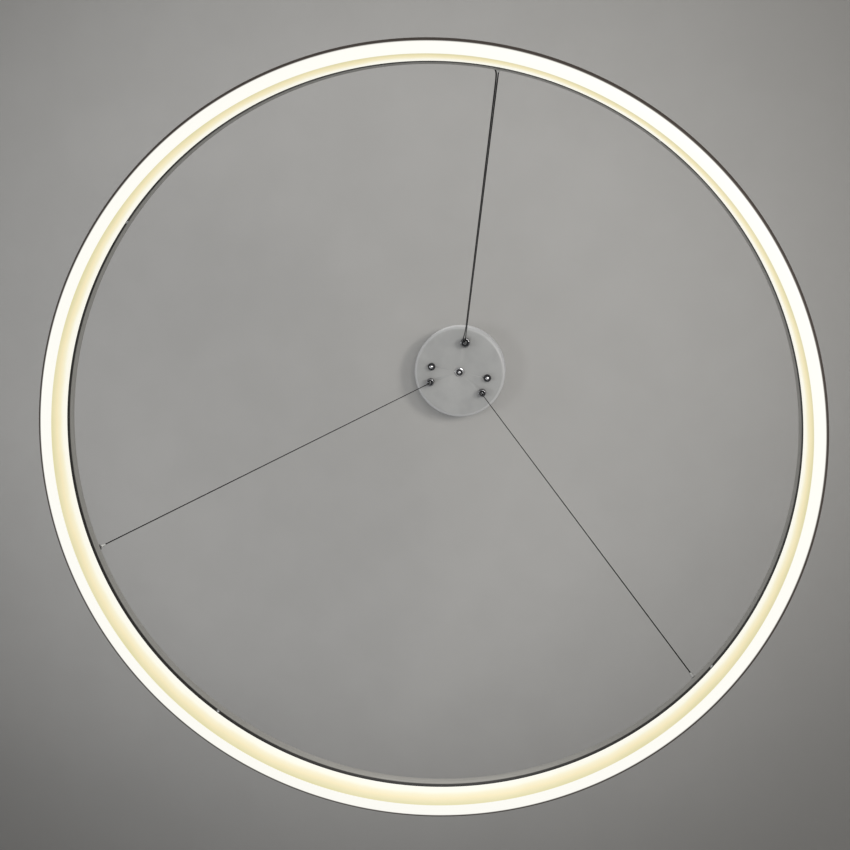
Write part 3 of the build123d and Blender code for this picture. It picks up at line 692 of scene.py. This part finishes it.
def moulded(name, light, dark, rough, size=0.0009):
    """Moulded plastic: a fine spark-eroded skin, a little dust on top."""
    finish, tree, shader, place = new_finish(name, Specular_IOR_Level=0.5)
    grain = use(tree, fine_grain, Place=place, Size=size)
    dust = use(tree, settled_dust, Place=place, Facing=facing(tree))["Dust"]
    tone = blended(tree, between(tree, grain["Drift"], 0.3, 0.7), light, dark)
    tone = blended(tree, reckon(tree, "MULTIPLY", dust, 0.25), tone, (0.55, 0.53, 0.48))
    coat(tree, shader, tone, grain["Lumps"], 0.15, rough)
    raise_bumps(tree, shader, grain["Lumps"], 0.18, 0.00004)
    return finish


def circuit_board():
    """Green lacquer over copper tracks on a square grid; the parts' tops are dark."""
    finish, tree, shader, place = new_finish("circuit_board", Coat_Weight=0.4, Coat_Roughness=0.15)
    tracks = put(tree, "TexBrick", Vector=place, Scale=220.0, Mortar_Size=0.16,
                 Color1=(1, 1, 1, 1), Color2=(1, 1, 1, 1), Mortar=(0, 0, 0, 1)).outputs["Fac"]
    green = blended(tree, tracks, (0.045, 0.19, 0.085), (0.10, 0.30, 0.13))
    tops = between(tree, axes_of(tree, place)[2], -0.0189, -0.0187)
    coat(tree, shader, blended(tree, tops, green, (0.07, 0.065, 0.06)), tracks, 0.1, 0.35)
    raise_bumps(tree, shader, tracks, 0.3, 0.00004)
    return finish


def lead_jacket():
    """Black PVC: nearly smooth, with a faint lengthwise flow from the die."""
    finish, tree, shader, place = new_finish("black_lead", Specular_IOR_Level=0.32)
    wrap = put(tree, "UVMap", uv_map="along").outputs[0]
    flow = put(tree, "TexNoise", Scale=9.0, Detail=3.0,
               Vector=put(tree, "Mapping", Vector=wrap, Scale=(1.0, 0.05, 1.0)).outputs[0])
    marks = use(tree, handling, Place=place, Size=0.01)["Marks"]
    coat(tree, shader, blended(tree, marks, (0.010, 0.010, 0.011), (0.019, 0.018, 0.018)), marks, 0.2, 0.38)
    raise_bumps(tree, shader, flow.outputs[0], 0.12, 0.00003)
    return finish


def mains_wires():
    """Glossy wire jackets: one brown, one blue, told apart by their place."""
    finish, tree, shader, place = new_finish("wire_plastic", Specular_IOR_Level=0.5)
    grain = use(tree, fine_grain, Place=place, Size=0.0006)
    side = between(tree, axes_of(tree, place)[0], -0.0167, -0.0163, easing="LINEAR")
    tone = blended(tree, side, (0.17, 0.065, 0.025), (0.025, 0.11, 0.40))
    coat(tree, shader, tone, grain["Drift"], 0.2, 0.2)
    raise_bumps(tree, shader, grain["Lumps"], 0.08, 0.00002)
    return finish


def frame_aluminium():
    """Satin anodised section: drawn lines round the ring, and a painted shadow line above the lens."""
    finish, tree, shader, place = new_finish("frame_aluminium", Metallic=0.35)
    lines = use(tree, drawn_lines, Place=place, Spacing=0.00035)["Lines"]
    marks = use(tree, handling, Place=place, Size=0.03)["Marks"]
    dust = use(tree, settled_dust, Place=place, Facing=facing(tree))["Dust"]
    tone = blended(tree, between(tree, lines, 0.3, 0.7), (0.26, 0.252, 0.228), (0.315, 0.308, 0.283))
    tone = blended(tree, reckon(tree, "MULTIPLY", dust, 0.3), tone, (0.34, 0.325, 0.29))
    # painted shadow line: near black low on the inner wall, just above the lens
    painted_shadow_line = reckon(tree, "MULTIPLY", between(tree, axes_of(tree, place)[2], -0.6652, -0.6672),
                 between(tree, from_axis(tree, place), 0.3862, 0.3858))
    tone = blended(tree, painted_shadow_line, tone, (0.012, 0.011, 0.009))
    coat(tree, shader, tone, lines, 0.10, reckon(tree, "MULTIPLY_ADD", marks, 0.10, 0.34))
    raise_bumps(tree, shader, lines, 0.14, 0.00003)
    return finish


def wall_glow(tree, rise):
    """The lit inner wall's colours from its foot up: cream, then white at its top."""
    ramp = tree.nodes.new("ShaderNodeValToRGB")
    tree.links.new(reckon(tree, "DIVIDE", rise, lit_height), ramp.inputs[0])
    stops = ramp.color_ramp.elements
    stops[0].color = (0.64, 0.59, 0.30, 1)
    stops[1].color = (0.88, 0.87, 0.79, 1)
    for spot, colour in ((0.10, (0.68, 0.62, 0.35, 1)), (0.34, (0.80, 0.70, 0.42, 1)),
                         (0.55, (0.82, 0.76, 0.53, 1)), (0.72, (0.87, 0.845, 0.72, 1))):
        stops.new(spot).color = colour
    return ramp.outputs[0]


def opal_lens():
    """The lit lens: white below, cream on its inner wall; the outer edge is painted dark as shade where its
    rounded corner turns away.
    """
    finish, tree, shader, place = new_finish("opal_lens", Specular_IOR_Level=0.4, Roughness=0.45,
                                             Emission_Strength=1.0)
    out = from_axis(tree, place)
    rise = reckon(tree, "ADD", axes_of(tree, place)[2], -ring_bottom)
    cloud = put(tree, "TexNoise", Vector=place, Scale=16.0, Detail=3.0)
    drift = between(tree, cloud.outputs[0], 0.3, 0.7, -0.002, 0.002)
    wall = reckon(tree, "MULTIPLY", between(tree, out, 0.3852, 0.3848), between(tree, rise, 0.0001, 0.0006))
    # painted shade: the outer rounded corner goes dark, its glow and colour faded, as it turns away
    painted_edge_shade = between(tree, out, 0.3953, 0.3968)
    below = blended(tree, painted_edge_shade, (0.875, 0.865, 0.81), (0.012, 0.008, 0.005))
    glow = blended(tree, wall, below, wall_glow(tree, reckon(tree, "ADD", rise, drift)))
    tree.links.new(glow, shader["Emission Color"])
    tree.links.new(blended(tree, painted_edge_shade, (0.10, 0.0975, 0.09), (0.030, 0.024, 0.020)), shader["Base Color"])
    grain = use(tree, fine_grain, Place=place, Size=0.0008)
    raise_bumps(tree, shader, grain["Lumps"], 0.06, 0.00003)
    return finish


def lit_chips():
    """Light chips: a phosphor face, lit."""
    finish, tree, shader, place = new_finish("chip_yellow", Roughness=0.35, Emission_Strength=1.0)
    grain = use(tree, fine_grain, Place=place, Size=0.0007)
    tone = blended(tree, grain["Lumps"], (0.85, 0.70, 0.22), (0.98, 0.86, 0.42))
    tree.links.new(tone, shader["Base Color"])
    glow = blended(tree, grain["Lumps"], (0.80, 0.62, 0.25), (1.0, 0.88, 0.55))
    tree.links.new(glow, shader["Emission Color"])
    raise_bumps(tree, shader, grain["Lumps"], 0.2, 0.00004)
    return finish


def one_sided(name, light, dark, size, far=None, clear_to_light=False):
    """A plain matt plane of the room, seen only from its face; a far colour may paint the falloff of light,
    darkening it away from the middle.
    """
    finish, tree, shader, place = new_finish(name, Roughness=0.9, Specular_IOR_Level=0.2)
    grain = use(tree, fine_grain, Place=place, Size=size)
    tone = blended(tree, between(tree, grain["Drift"], 0.25, 0.75), light, dark)
    # far paints the falloff of the ring's light: the colour darkens away from a centre point
    if far:
        middle = put(tree, "Mapping", Vector=place, Location=(-0.19, 0.05, 0.0)).outputs[0]
        tone = blended(tree, between(tree, from_axis(tree, middle), 0.40, 1.25), tone, far)
    tree.links.new(tone, shader["Base Color"])
    raise_bumps(tree, shader, grain["Lumps"], 0.08, 0.0004)
    clear = tree.nodes.new("ShaderNodeBsdfTransparent").outputs[0]
    back = tree.nodes.new("ShaderNodeNewGeometry").outputs["Backfacing"]
    ray = tree.nodes.new("ShaderNodeLightPath").outputs
    lit_through = reckon(tree, "MAXIMUM", ray["Is Shadow Ray"], ray["Is Diffuse Ray"])
    passing = reckon(tree, "MAXIMUM", back, lit_through)
    choice = tree.nodes.new("ShaderNodeMixShader")
    tree.links.new(passing if clear_to_light else back, choice.inputs[0])
    tree.links.new(tree.nodes["Principled BSDF"].outputs[0], choice.inputs[1])
    tree.links.new(clear, choice.inputs[2])
    tree.links.new(choice.outputs[0], tree.nodes["Material Output"].inputs["Surface"])
    return finish


# ---------- turned fittings

def map_lathe(piece):
    """The lathe map of a piece still on the main axis: round it, and along its outline."""
    wrap = piece.data.uv_layers.get("lathe") or piece.data.uv_layers.new(name="lathe")
    for loop in piece.data.loops:
        spot = piece.data.vertices[loop.vertex_index].co
        wrap.data[loop.index].uv = (atan2(spot.y, spot.x) / (2 * pi), hypot(spot.x, spot.y) - spot.z)
    return piece


def pick_band(piece, chosen):
    """In edit mode, select the vertices that the test picks by their place."""
    leave()
    for polygon in piece.data.polygons:
        polygon.select = False
    for edge in piece.data.edges:
        edge.select = False
    for vertex in piece.data.vertices:
        vertex.select = chosen(vertex.co)
    bpy.ops.object.mode_set(mode="EDIT")


def knurl(nut, steps):
    """Every other line of the nut's skirt is pressed in a little."""
    edit(nut)
    bpy.ops.mesh.select_mode(type="VERT")
    turns = [2 * pi * number / steps + pi / 2 for number in range(1, steps, 2)]
    spots = [Vector((cos(turn), sin(turn))) for turn in turns]
    pick_band(nut, lambda co: -0.0413 < co.z < -0.0390 and hypot(co.x, co.y) > 0.0062
              and any((Vector((co.x, co.y)).normalized() - spot).length < 0.02 for spot in spots))
    bpy.ops.transform.resize(value=(0.965, 0.965, 1), center_override=(0, 0, -0.04))
    leave()


def under_both_studs(piece, twin_name, slot, finish, node):
    """The piece goes under one stud, and its twin under the other."""
    other = twin(piece, twin_name, Matrix.Translation((stud_side, 0, 0)))
    placed(piece, Matrix.Translation((-stud_side, 0, 0)))
    for one in (piece, other):
        fit(one, "canopy", slot, finish, node)


def add_cap_nuts(finish, plastic):
    """Domed nuts with a fine knurl on the skirt, each on its thin washer."""
    bore = 0.00205
    outer = 0.0064
    waist = 0.0061
    seat = -0.0388
    rim = -0.0419
    courses = [(bore, -0.0448), (bore, seat), (waist, seat), (outer, -0.0391), (outer, -0.0412),
               (waist, -0.0415), (waist, -0.0417), (outer, rim)] + arc(outer, 0.0, rim, -8, -89, 15)
    nut = turn_up("cap_nut_right", courses, 96, foot=True, head="point")
    knurl(nut, 96)
    smooth(map_lathe(nut), 28)
    under_both_studs(nut, "cap_nut_left", "chrome", finish, "cap_nuts")
    hole = 0.0023
    washer = turn_up("washer_right", [(hole, cover_face), (0.0054, cover_face), (0.0054, seat), (hole, seat),
                                      (hole, cover_face)], 72)
    soften(washer, 0.00015)
    under_both_studs(washer, "washer_left", "white_plastic", plastic, "cap_nut_washers")


def add_centre_plug(finish):
    """The polished plug that closes the cover's middle hole."""
    stem = 0.004
    flange = 0.0074
    flange_foot = -0.040
    courses = [(stem, -0.030), (stem, cover_face), (flange, cover_face), (flange, flange_foot),
               (0.0058, flange_foot), (0.0055, -0.0402)] + arc(0.0054, 0.0, -0.0401, -3, -89, 15)
    plug = turn_up("centre_plug_dome", courses, 96, foot=True, head="point")
    fit(map_lathe(soften(plug, 0.0003, 3)), "canopy", "chrome", finish, "centre_plug")


def turn_gripper_body(number, outer, neck):
    """The gripper's body: a rounded mouth, a groove, the neck through the cover, and the stepped bore."""
    edge = 0.0012
    rounding = outer - edge
    groove = outer - 0.0004
    bore = 0.00173
    seat = 0.00215
    chamber = 0.0029
    mouth = [(bore, gripper_bottom), (0.0022, gripper_bottom), (outer - 0.0014, gripper_bottom),
             (rounding, gripper_bottom)] + arc(edge, rounding, -0.0498, -82, 0, 8)
    return turn_up(f"rope_gripper_{number}", mouth + [
        (outer, -0.0418), (groove, -0.0414), (groove, -0.0408), (outer, -0.0404), (outer, cover_face),
        (neck, cover_face), (neck, neck_top), (chamber, neck_top), (chamber, -0.035), (seat, -0.041),
        (seat, -0.044), (bore, -0.044), (bore, gripper_bottom)], 96)


def turn_plunger(number):
    """The hollow plunger: a rounded tip below the body, and a collar that can't fall through its bore."""
    tip = 0.0026
    edge = 0.0007
    tip_top = -0.0535
    stem = 0.00165
    collar = 0.002
    head = -0.0395
    bore = 0.00075
    rounding = [(0.00125, plunger_mouth), (0.0018, plunger_mouth), (0.0019, plunger_mouth)]
    rounding += arc(edge, tip - edge, -0.0543, -80, 0, 5)
    return turn_up(f"release_plunger_{number}", rounding + [
        (tip, tip_top), (stem, tip_top), (stem, -0.0439), (collar, -0.0439), (collar, -0.0427),
        (stem, -0.0427), (stem, head), (bore, head), (bore, -0.0545), (0.00125, plunger_mouth)], 64)


def add_gripper(index, finish):
    """A rope gripper with its sprung plunger; the first is wider, for the lead's own hole beside its bore."""
    number = index + 1
    outer = 0.00775 if index == 0 else 0.0062
    neck = 0.0066 if index == 0 else 0.004
    body = soften(turn_gripper_body(number, outer, neck), 0.0002, 2, 30)
    if index == 0:
        drill(body, 0.00105, gripper_bottom - 0.001, neck_top + 0.001, 0, -lead_side)
        smooth(body, 30)
    placed(map_lathe(body), gripper_place(index))
    fit(body, "canopy", "chrome", finish, f"gripper_body_{number}")
    plunger = soften(turn_plunger(number), 0.00012, 2, 30)
    placed(map_lathe(plunger), gripper_place(index))
    fit(plunger, f"plunger_{number}", "chrome", finish, f"plunger_{number}")


def turn_anchor():
    """The hollow screw that holds a rope's stop: its thread, its grooved head and the cup in its mouth."""
    bore = 0.00275
    thread = 0.004
    thread_foot = -0.6643
    head = 0.006
    groove = 0.0057
    mouth = -0.646
    return turn_up("rope_anchor_1", [
        (bore, thread_foot), (thread, thread_foot), (thread, ring_top), (head, ring_top), (head, -0.6534),
        (groove, -0.6531), (groove, -0.6527), (head, -0.6524), (head, -0.6505), (0.0049, mouth),
        (0.0043, mouth), (0.002, -0.6484), (bore, -0.64915), (bore, thread_foot)], 96)


def turn_stop():
    """The stop pressed on a rope's end: a ball to swivel on, and a barrel with three crimps."""
    barrel = 0.0014
    crimped = 0.0012
    courses = arc(0.0025, 0.0, 0.0, -84, 68.9, 14) + [(0.0009, 0.0055), (barrel, 0.0055)]
    for crimp in (0.0068, 0.0087, 0.0106):
        courses += [(barrel, crimp), (crimped, crimp + 0.0003), (crimped, crimp + 0.0009),
                    (barrel, crimp + 0.0012)]
    courses += [(barrel, 0.0122), (crimped, 0.0125)]
    return turn_up("rope_stop_1", courses, 48, foot=True, head="flat")


def add_anchors(finish, metal):
    """At each rope's end: the hollow screw on the ring, and the pressed stop that swivels in its mouth."""
    anchor = map_lathe(soften(turn_anchor(), 0.0002, 2, 30))
    stop = map_lathe(smooth(turn_stop(), 40))
    lean = Matrix.Translation((0, 0, stop_centre)) @ Matrix.Rotation(radians(-rope_slant), 4, "Y")
    pieces = [(anchor, stop)]
    for number in (2, 3):
        pieces.append((twin(anchor, f"rope_anchor_{number}", Matrix()),
                       twin(stop, f"rope_stop_{number}", Matrix())))
    for (one, other), angle in zip(pieces, rope_angles):
        placed(one, ring_place(angle))
        placed(other, ring_place(angle) @ lean)
        fit(one, "ring", "chrome", finish, "rope_anchors")
        fit(other, "ring", "stop_metal", metal, "rope_stops")


def add_grommet(finish):
    """The rubber grommet that the lead goes down through."""
    bore = 0.0009
    flange = 0.0034
    groove = 0.0026
    foot = -0.658
    mouth = -0.6536
    grommet = turn_up("rubber_grommet", [
        (bore, foot), (flange, foot), (flange, channel_top - 0.0001), (groove, channel_top - 0.0001),
        (groove, ring_top), (flange, ring_top), (flange, -0.6547), (0.0028, mouth), (bore, mouth),
        (bore, foot)], 64)
    soften(grommet, 0.0002, 3, 30)
    placed(grommet, ring_place(rope_angles[0]) @ Matrix.Translation((0, -grommet_side, 0)))
    fit(grommet, "ring", "black_rubber", finish, "lead_grommet")


def cross_recess(screw, top, reach, width, depth):
    """The cross in a screw's head: two bars sunk into it."""
    for turn in (0, 90):
        begin()
        bpy.ops.mesh.primitive_cube_add(size=1, location=(0, 0, top), rotation=(0, 0, radians(turn)))
        bar = bpy.context.object
        bar.scale = (2 * reach, width, 2 * depth)
        settle(bar)
        cut(screw, bar)
    return screw


def add_lens_screws(finish):
    """Four small cross-head screws through the frame's inner wall, a quarter turn apart."""
    shank = 0.0011
    seat = 0.00002
    crown = 0.00082
    screw = turn_up("lens_screw_1", [
        (shank, -0.0034), (shank, seat), (0.0019, seat), (0.0019, 0.00034), (0.0017, 0.00058),
        (0.0012, 0.00075), (0.0005, crown)], 48, foot=True, head="flat")
    cross_recess(screw, crown, 0.0010, 0.0003, 0.00042)
    map_lathe(smooth(screw, 30))
    screws = [screw] + [twin(screw, f"lens_screw_{number}", Matrix()) for number in (2, 3, 4)]
    inward = Matrix.Translation((ring_inner, 0, -0.6695)) @ Matrix.Rotation(radians(-90), 4, "Y")
    for number, one in enumerate(screws):
        placed(one, Matrix.Rotation(radians(26 + 90 * number), 4, "Z") @ inward)
        fit(one, "ring", "zinc_steel", finish, "diffuser_screws")


# ---------- ring and canopy

def turn_section():
    """The rolled section: outer wall, top, short inner wall, and the hollow above its web."""
    inside = ring_inner + frame_wall
    outside = ring_outer - frame_wall
    shell = turn_up("ring_section", [
        (ring_outer, frame_foot), (ring_outer, ring_top), (ring_inner, ring_top), (ring_inner, brow),
        (inside, brow), (inside, web_under), (outside, web_under), (outside, frame_foot),
        (ring_outer, frame_foot)], 360)
    soften(shell, 0.0004, 3, 40)
    hollow = turn_up("ring_hollow", [
        (inside, web_top), (outside, web_top), (outside, channel_top), (inside, channel_top),
        (inside, web_top)], 360)
    cut(shell, hollow)
    return shell


def make_seam_screws():
    """Two countersunk cross-head screws, still on the middle axis."""
    screw = turn_up("seam_screw_1", [
        (0.0015, -0.662), (0.0015, -0.6565), (0.00255, -0.65510), (0.0026, -0.65500)], 48,
        foot=True, head="flat")
    cross_recess(screw, ring_top, 0.0014, 0.0004, 0.0008)
    map_lathe(smooth(screw, 30))
    return screw, twin(screw, "seam_screw_2", Matrix())


def saw_seam(shell):
    """The fine line where the rolled section's ends meet."""
    begin()
    bpy.ops.mesh.primitive_cube_add(size=1, location=(0, 0, -0.68))
    blade = bpy.context.object
    blade.scale = (0.03, 0.0003, 0.08)
    settle(blade)
    cut(shell, placed(blade, ring_place(seam_angle)))


def add_ring_frame(finish, steel):
    """The rolled section with its seam, and the two screws that hold its ends."""
    shell = turn_section()
    beside = 2.191
    for screw, side in zip(make_seam_screws(), (-beside, beside)):
        place = ring_place(seam_angle + side)
        sink = turn_up("sink", [(0.00155, -0.663), (0.00155, -0.6565), (0.00268, -0.65499),
                                (0.00268, -0.654)], 48, foot=True, head="flat")
        cut(shell, placed(sink, place))
        fit(placed(screw, place), "ring", "zinc_steel", steel, "splice_screws")
    saw_seam(shell)
    fit(smooth(shell, 30), "ring", "frame_aluminium", finish, "ring_frame")


def add_lens(finish):
    """The L-shaped lens: a floor with a rounded edge, the lit inner wall, and tongues inside the frame."""
    floor_end = ring_outer - lens_corner
    lit_wall = 0.3865
    floor_top = -0.708
    tongue = 0.3879
    tongue_top = -0.667
    step_top = -0.6723
    outer_tongue = 0.3966
    courses = [(ring_outer, -0.7023)] + arc(lens_corner, floor_end, ring_bottom + lens_corner, 0, -90, 10)
    courses += [(ring_inner, ring_bottom), (ring_inner, step_top), (0.3863, step_top), (0.3863, tongue_top),
                (tongue, tongue_top), (tongue, -0.6743), (lit_wall, -0.6763), (lit_wall, floor_top),
                (floor_end, floor_top), (outer_tongue, -0.704), (outer_tongue, -0.697), (0.3982, -0.697),
                (0.3982, -0.7023), (ring_outer, -0.7023)]
    lens = turn_up("opal_lens_ring", courses, 360)
    soften(lens, 0.0005, 3, 40)
    fit(lens, "ring", "opal_lens", finish, "diffuser")


def add_cover(finish):
    """The pressed cup under the ceiling: its face is drilled for the grippers and the studs."""
    flat = canopy_radius - canopy_edge
    middle_hole = 0.0042
    courses = [(middle_hole, cover_face), (flat, cover_face)]
    courses += arc(canopy_edge, flat, cover_face + canopy_edge, -82, 0, 8)
    courses += [(canopy_radius, 0.0), (canopy_radius - canopy_wall, 0.0)]
    courses += arc(canopy_edge - canopy_wall, flat, cover_face + canopy_edge, 0, -82, 8)
    courses += [(flat, cover_inside), (middle_hole, cover_inside), (middle_hole, cover_face)]
    cover = turn_up("ceiling_cover", courses, 180)
    holes = [(0.0068 if index == 0 else 0.0042, *on_canopy(index, 0, 0, 0)[:2]) for index in range(3)]
    holes += [(0.0023, -stud_side, 0), (0.0023, stud_side, 0)]
    for radius, x, y in holes:
        drill(cover, radius, cover_face - 0.001, cover_inside + 0.0008, x, y)
    soften(cover, 0.00025, 2, 40)
    fit(cover, "canopy", "canopy_paint", finish, "canopy_cover")


def refine(node, body, slot, finish, width=0.0):
    """A plain inner piece: a merged copy of its solid with broken edges and smooth rounds."""
    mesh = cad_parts[node].data.copy()
    piece = bpy.data.objects.new(f"fine_{node}", mesh)
    bpy.context.collection.objects.link(piece)
    edit(piece)
    bpy.ops.mesh.select_all(action="SELECT")
    bpy.ops.mesh.remove_doubles(threshold=same_spot)
    if width:
        bpy.ops.mesh.dissolve_limited(angle_limit=radians(1))
    leave()
    if width:
        soften(piece, width, 2, 40)
    else:
        smooth(piece, 35)
    return fit(piece, body, slot, finish, node)


# ---------- room and lights

lamp_target = Vector((0, 0, -0.2))


def add_plane(name, height, turn, finish):
    """A round sheet of the room, level."""
    begin()
    bpy.ops.mesh.primitive_circle_add(vertices=64, radius=7.0, fill_type="NGON", location=(0, 0, height),
                                      rotation=(turn, 0, 0))
    plane = bpy.context.object
    plane.name = plane.data.name = name
    settle(plane)
    plane.data.materials.append(finish)


def add_lamp(name, place, size, power, colour):
    """A round soft lamp, turned to the chandelier and not seen itself."""
    light = bpy.data.lights.new(name, "AREA")
    light.shape = "DISK"
    light.size = size
    light.energy = power
    light.color = colour
    lamp = bpy.data.objects.new(name, light)
    lamp.location = place
    lamp.rotation_euler = (lamp_target - Vector(place)).to_track_quat("-Z", "Y").to_euler()
    lamp.visible_camera = False
    bpy.context.collection.objects.link(lamp)


def add_light():
    """A pale sky all round, and four soft lamps: from the right, the left, below and above."""
    bpy.context.scene.view_settings.view_transform = "Standard"
    world = bpy.data.worlds.new("studio")
    world.use_nodes = True
    sky = world.node_tree.nodes["Background"]
    sky.inputs[0].default_value = (0.93, 0.95, 1.0, 1.0)
    sky.inputs[1].default_value = 0.65
    bpy.context.scene.world = world
    add_lamp("lamp_right", (-1.55, 1.05, -2.15), 0.75, 26.0, (1.0, 0.97, 0.93))
    add_lamp("lamp_left", (1.9, -0.5, -2.0), 0.7, 7.8, (0.95, 0.97, 1.0))
    add_lamp("lamp_below", (-0.35, 0.75, -2.35), 0.85, 10.5, (1.0, 0.98, 0.95))
    add_lamp("lamp_above", (0.8, 1.6, 2.2), 1.9, 31.0, (1.0, 0.98, 0.96))


# ---------- making

add_camera()
paint = canopy_paint()
# The last colour of each plating is its painted glint on the rounded noses.
nickel = polished("chrome", (0.085, 0.085, 0.088), (0.060, 0.060, 0.062), (0.62, 0.62, 0.63))
dark_nickel = polished("gripper_nickel", (0.050, 0.050, 0.052), (0.035, 0.035, 0.037), (0.60, 0.60, 0.61))
zinc = plated_steel()
brass = turned_brass()
steel = rope_steel()
sleeve = pressed_sleeve()
white = moulded("white_plastic", (0.80, 0.80, 0.77), (0.70, 0.70, 0.67), 0.40)
board = circuit_board()
jacket = lead_jacket()
wires = mains_wires()
satin = frame_aluminium()
glow = opal_lens()
mask = moulded("board_white", (0.84, 0.84, 0.81), (0.76, 0.76, 0.73), 0.35, 0.0006)
chips = lit_chips()
links = moulded("link_white", (0.78, 0.78, 0.75), (0.68, 0.68, 0.65), 0.45)
rubber = moulded("black_rubber", (0.028, 0.028, 0.028), (0.018, 0.018, 0.018), 0.60, 0.0005)

for number in range(3):
    add_rope(number, steel)
add_power_lead(jacket)
for number in range(3):
    add_rope_end(number, steel)
add_hidden_leads(jacket)

add_cover(paint)
add_cap_nuts(nickel, white)
add_centre_plug(nickel)
for number in range(3):
    add_gripper(number, dark_nickel)
add_ring_frame(satin, zinc)
add_lens(glow)
add_lens_screws(zinc)
add_anchors(nickel, sleeve)
add_grommet(rubber)

inner = [
    ("canopy", "zinc_steel", zinc, 0.0002, (
        "ceiling_bracket", "stud_locknuts", "centre_nut", "gripper_nut_1", "gripper_nut_2", "gripper_nut_3",
        "earth_screw", "driver_screws")),
    ("canopy", "zinc_steel", zinc, 0, ("bracket_studs",)),
    ("canopy", "brass", brass, 0, ("cage_plugs", "terminal_screws")),
    ("canopy", "white_plastic", white, 0.0003, ("driver_case", "driver_lid", "terminal_block")),
    ("canopy", "circuit_board", board, 0, ("driver_board",)),
    ("canopy", "wire_plastic", wires, 0, ("input_leads",)),
    ("plunger_1", "brass", brass, 0, ("grip_jaws_1",)),
    ("plunger_2", "brass", brass, 0, ("grip_jaws_2",)),
    ("plunger_3", "brass", brass, 0, ("grip_jaws_3",)),
    ("ring", "zinc_steel", zinc, 0, ("board_screws", "anchor_nuts")),
    ("ring", "frame_aluminium", satin, 0, ("splice_key",)),
    ("ring", "board_white", mask, 0, ("led_board_1", "led_board_2", "led_board_3", "led_board_4")),
    ("ring", "chip_yellow", chips, 0, ("led_chips",)),
    ("ring", "link_white", links, 0, ("board_links",)),
]
for body, slot, finish, width, nodes in inner:
    for node in nodes:
        refine(node, body, slot, finish, width)
for number in (1, 2, 3):
    spring = refine(f"plunger_spring_{number}", "canopy", "zinc_steel", zinc)
    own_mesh(spring)

# The ceiling's far colour is a painted falloff of the ring's light.
ceiling = one_sided("ceiling_paint", (0.395, 0.389, 0.374), (0.410, 0.404, 0.389), 0.004,
                    far=(0.178, 0.174, 0.164), clear_to_light=True)
floor = one_sided("floor_paint", (0.595, 0.590, 0.578), (0.620, 0.615, 0.603), 0.003)
add_plane("ceiling", 0.0, pi, ceiling)
add_plane("floor", -3.2, 0, floor)
add_light()

begin()
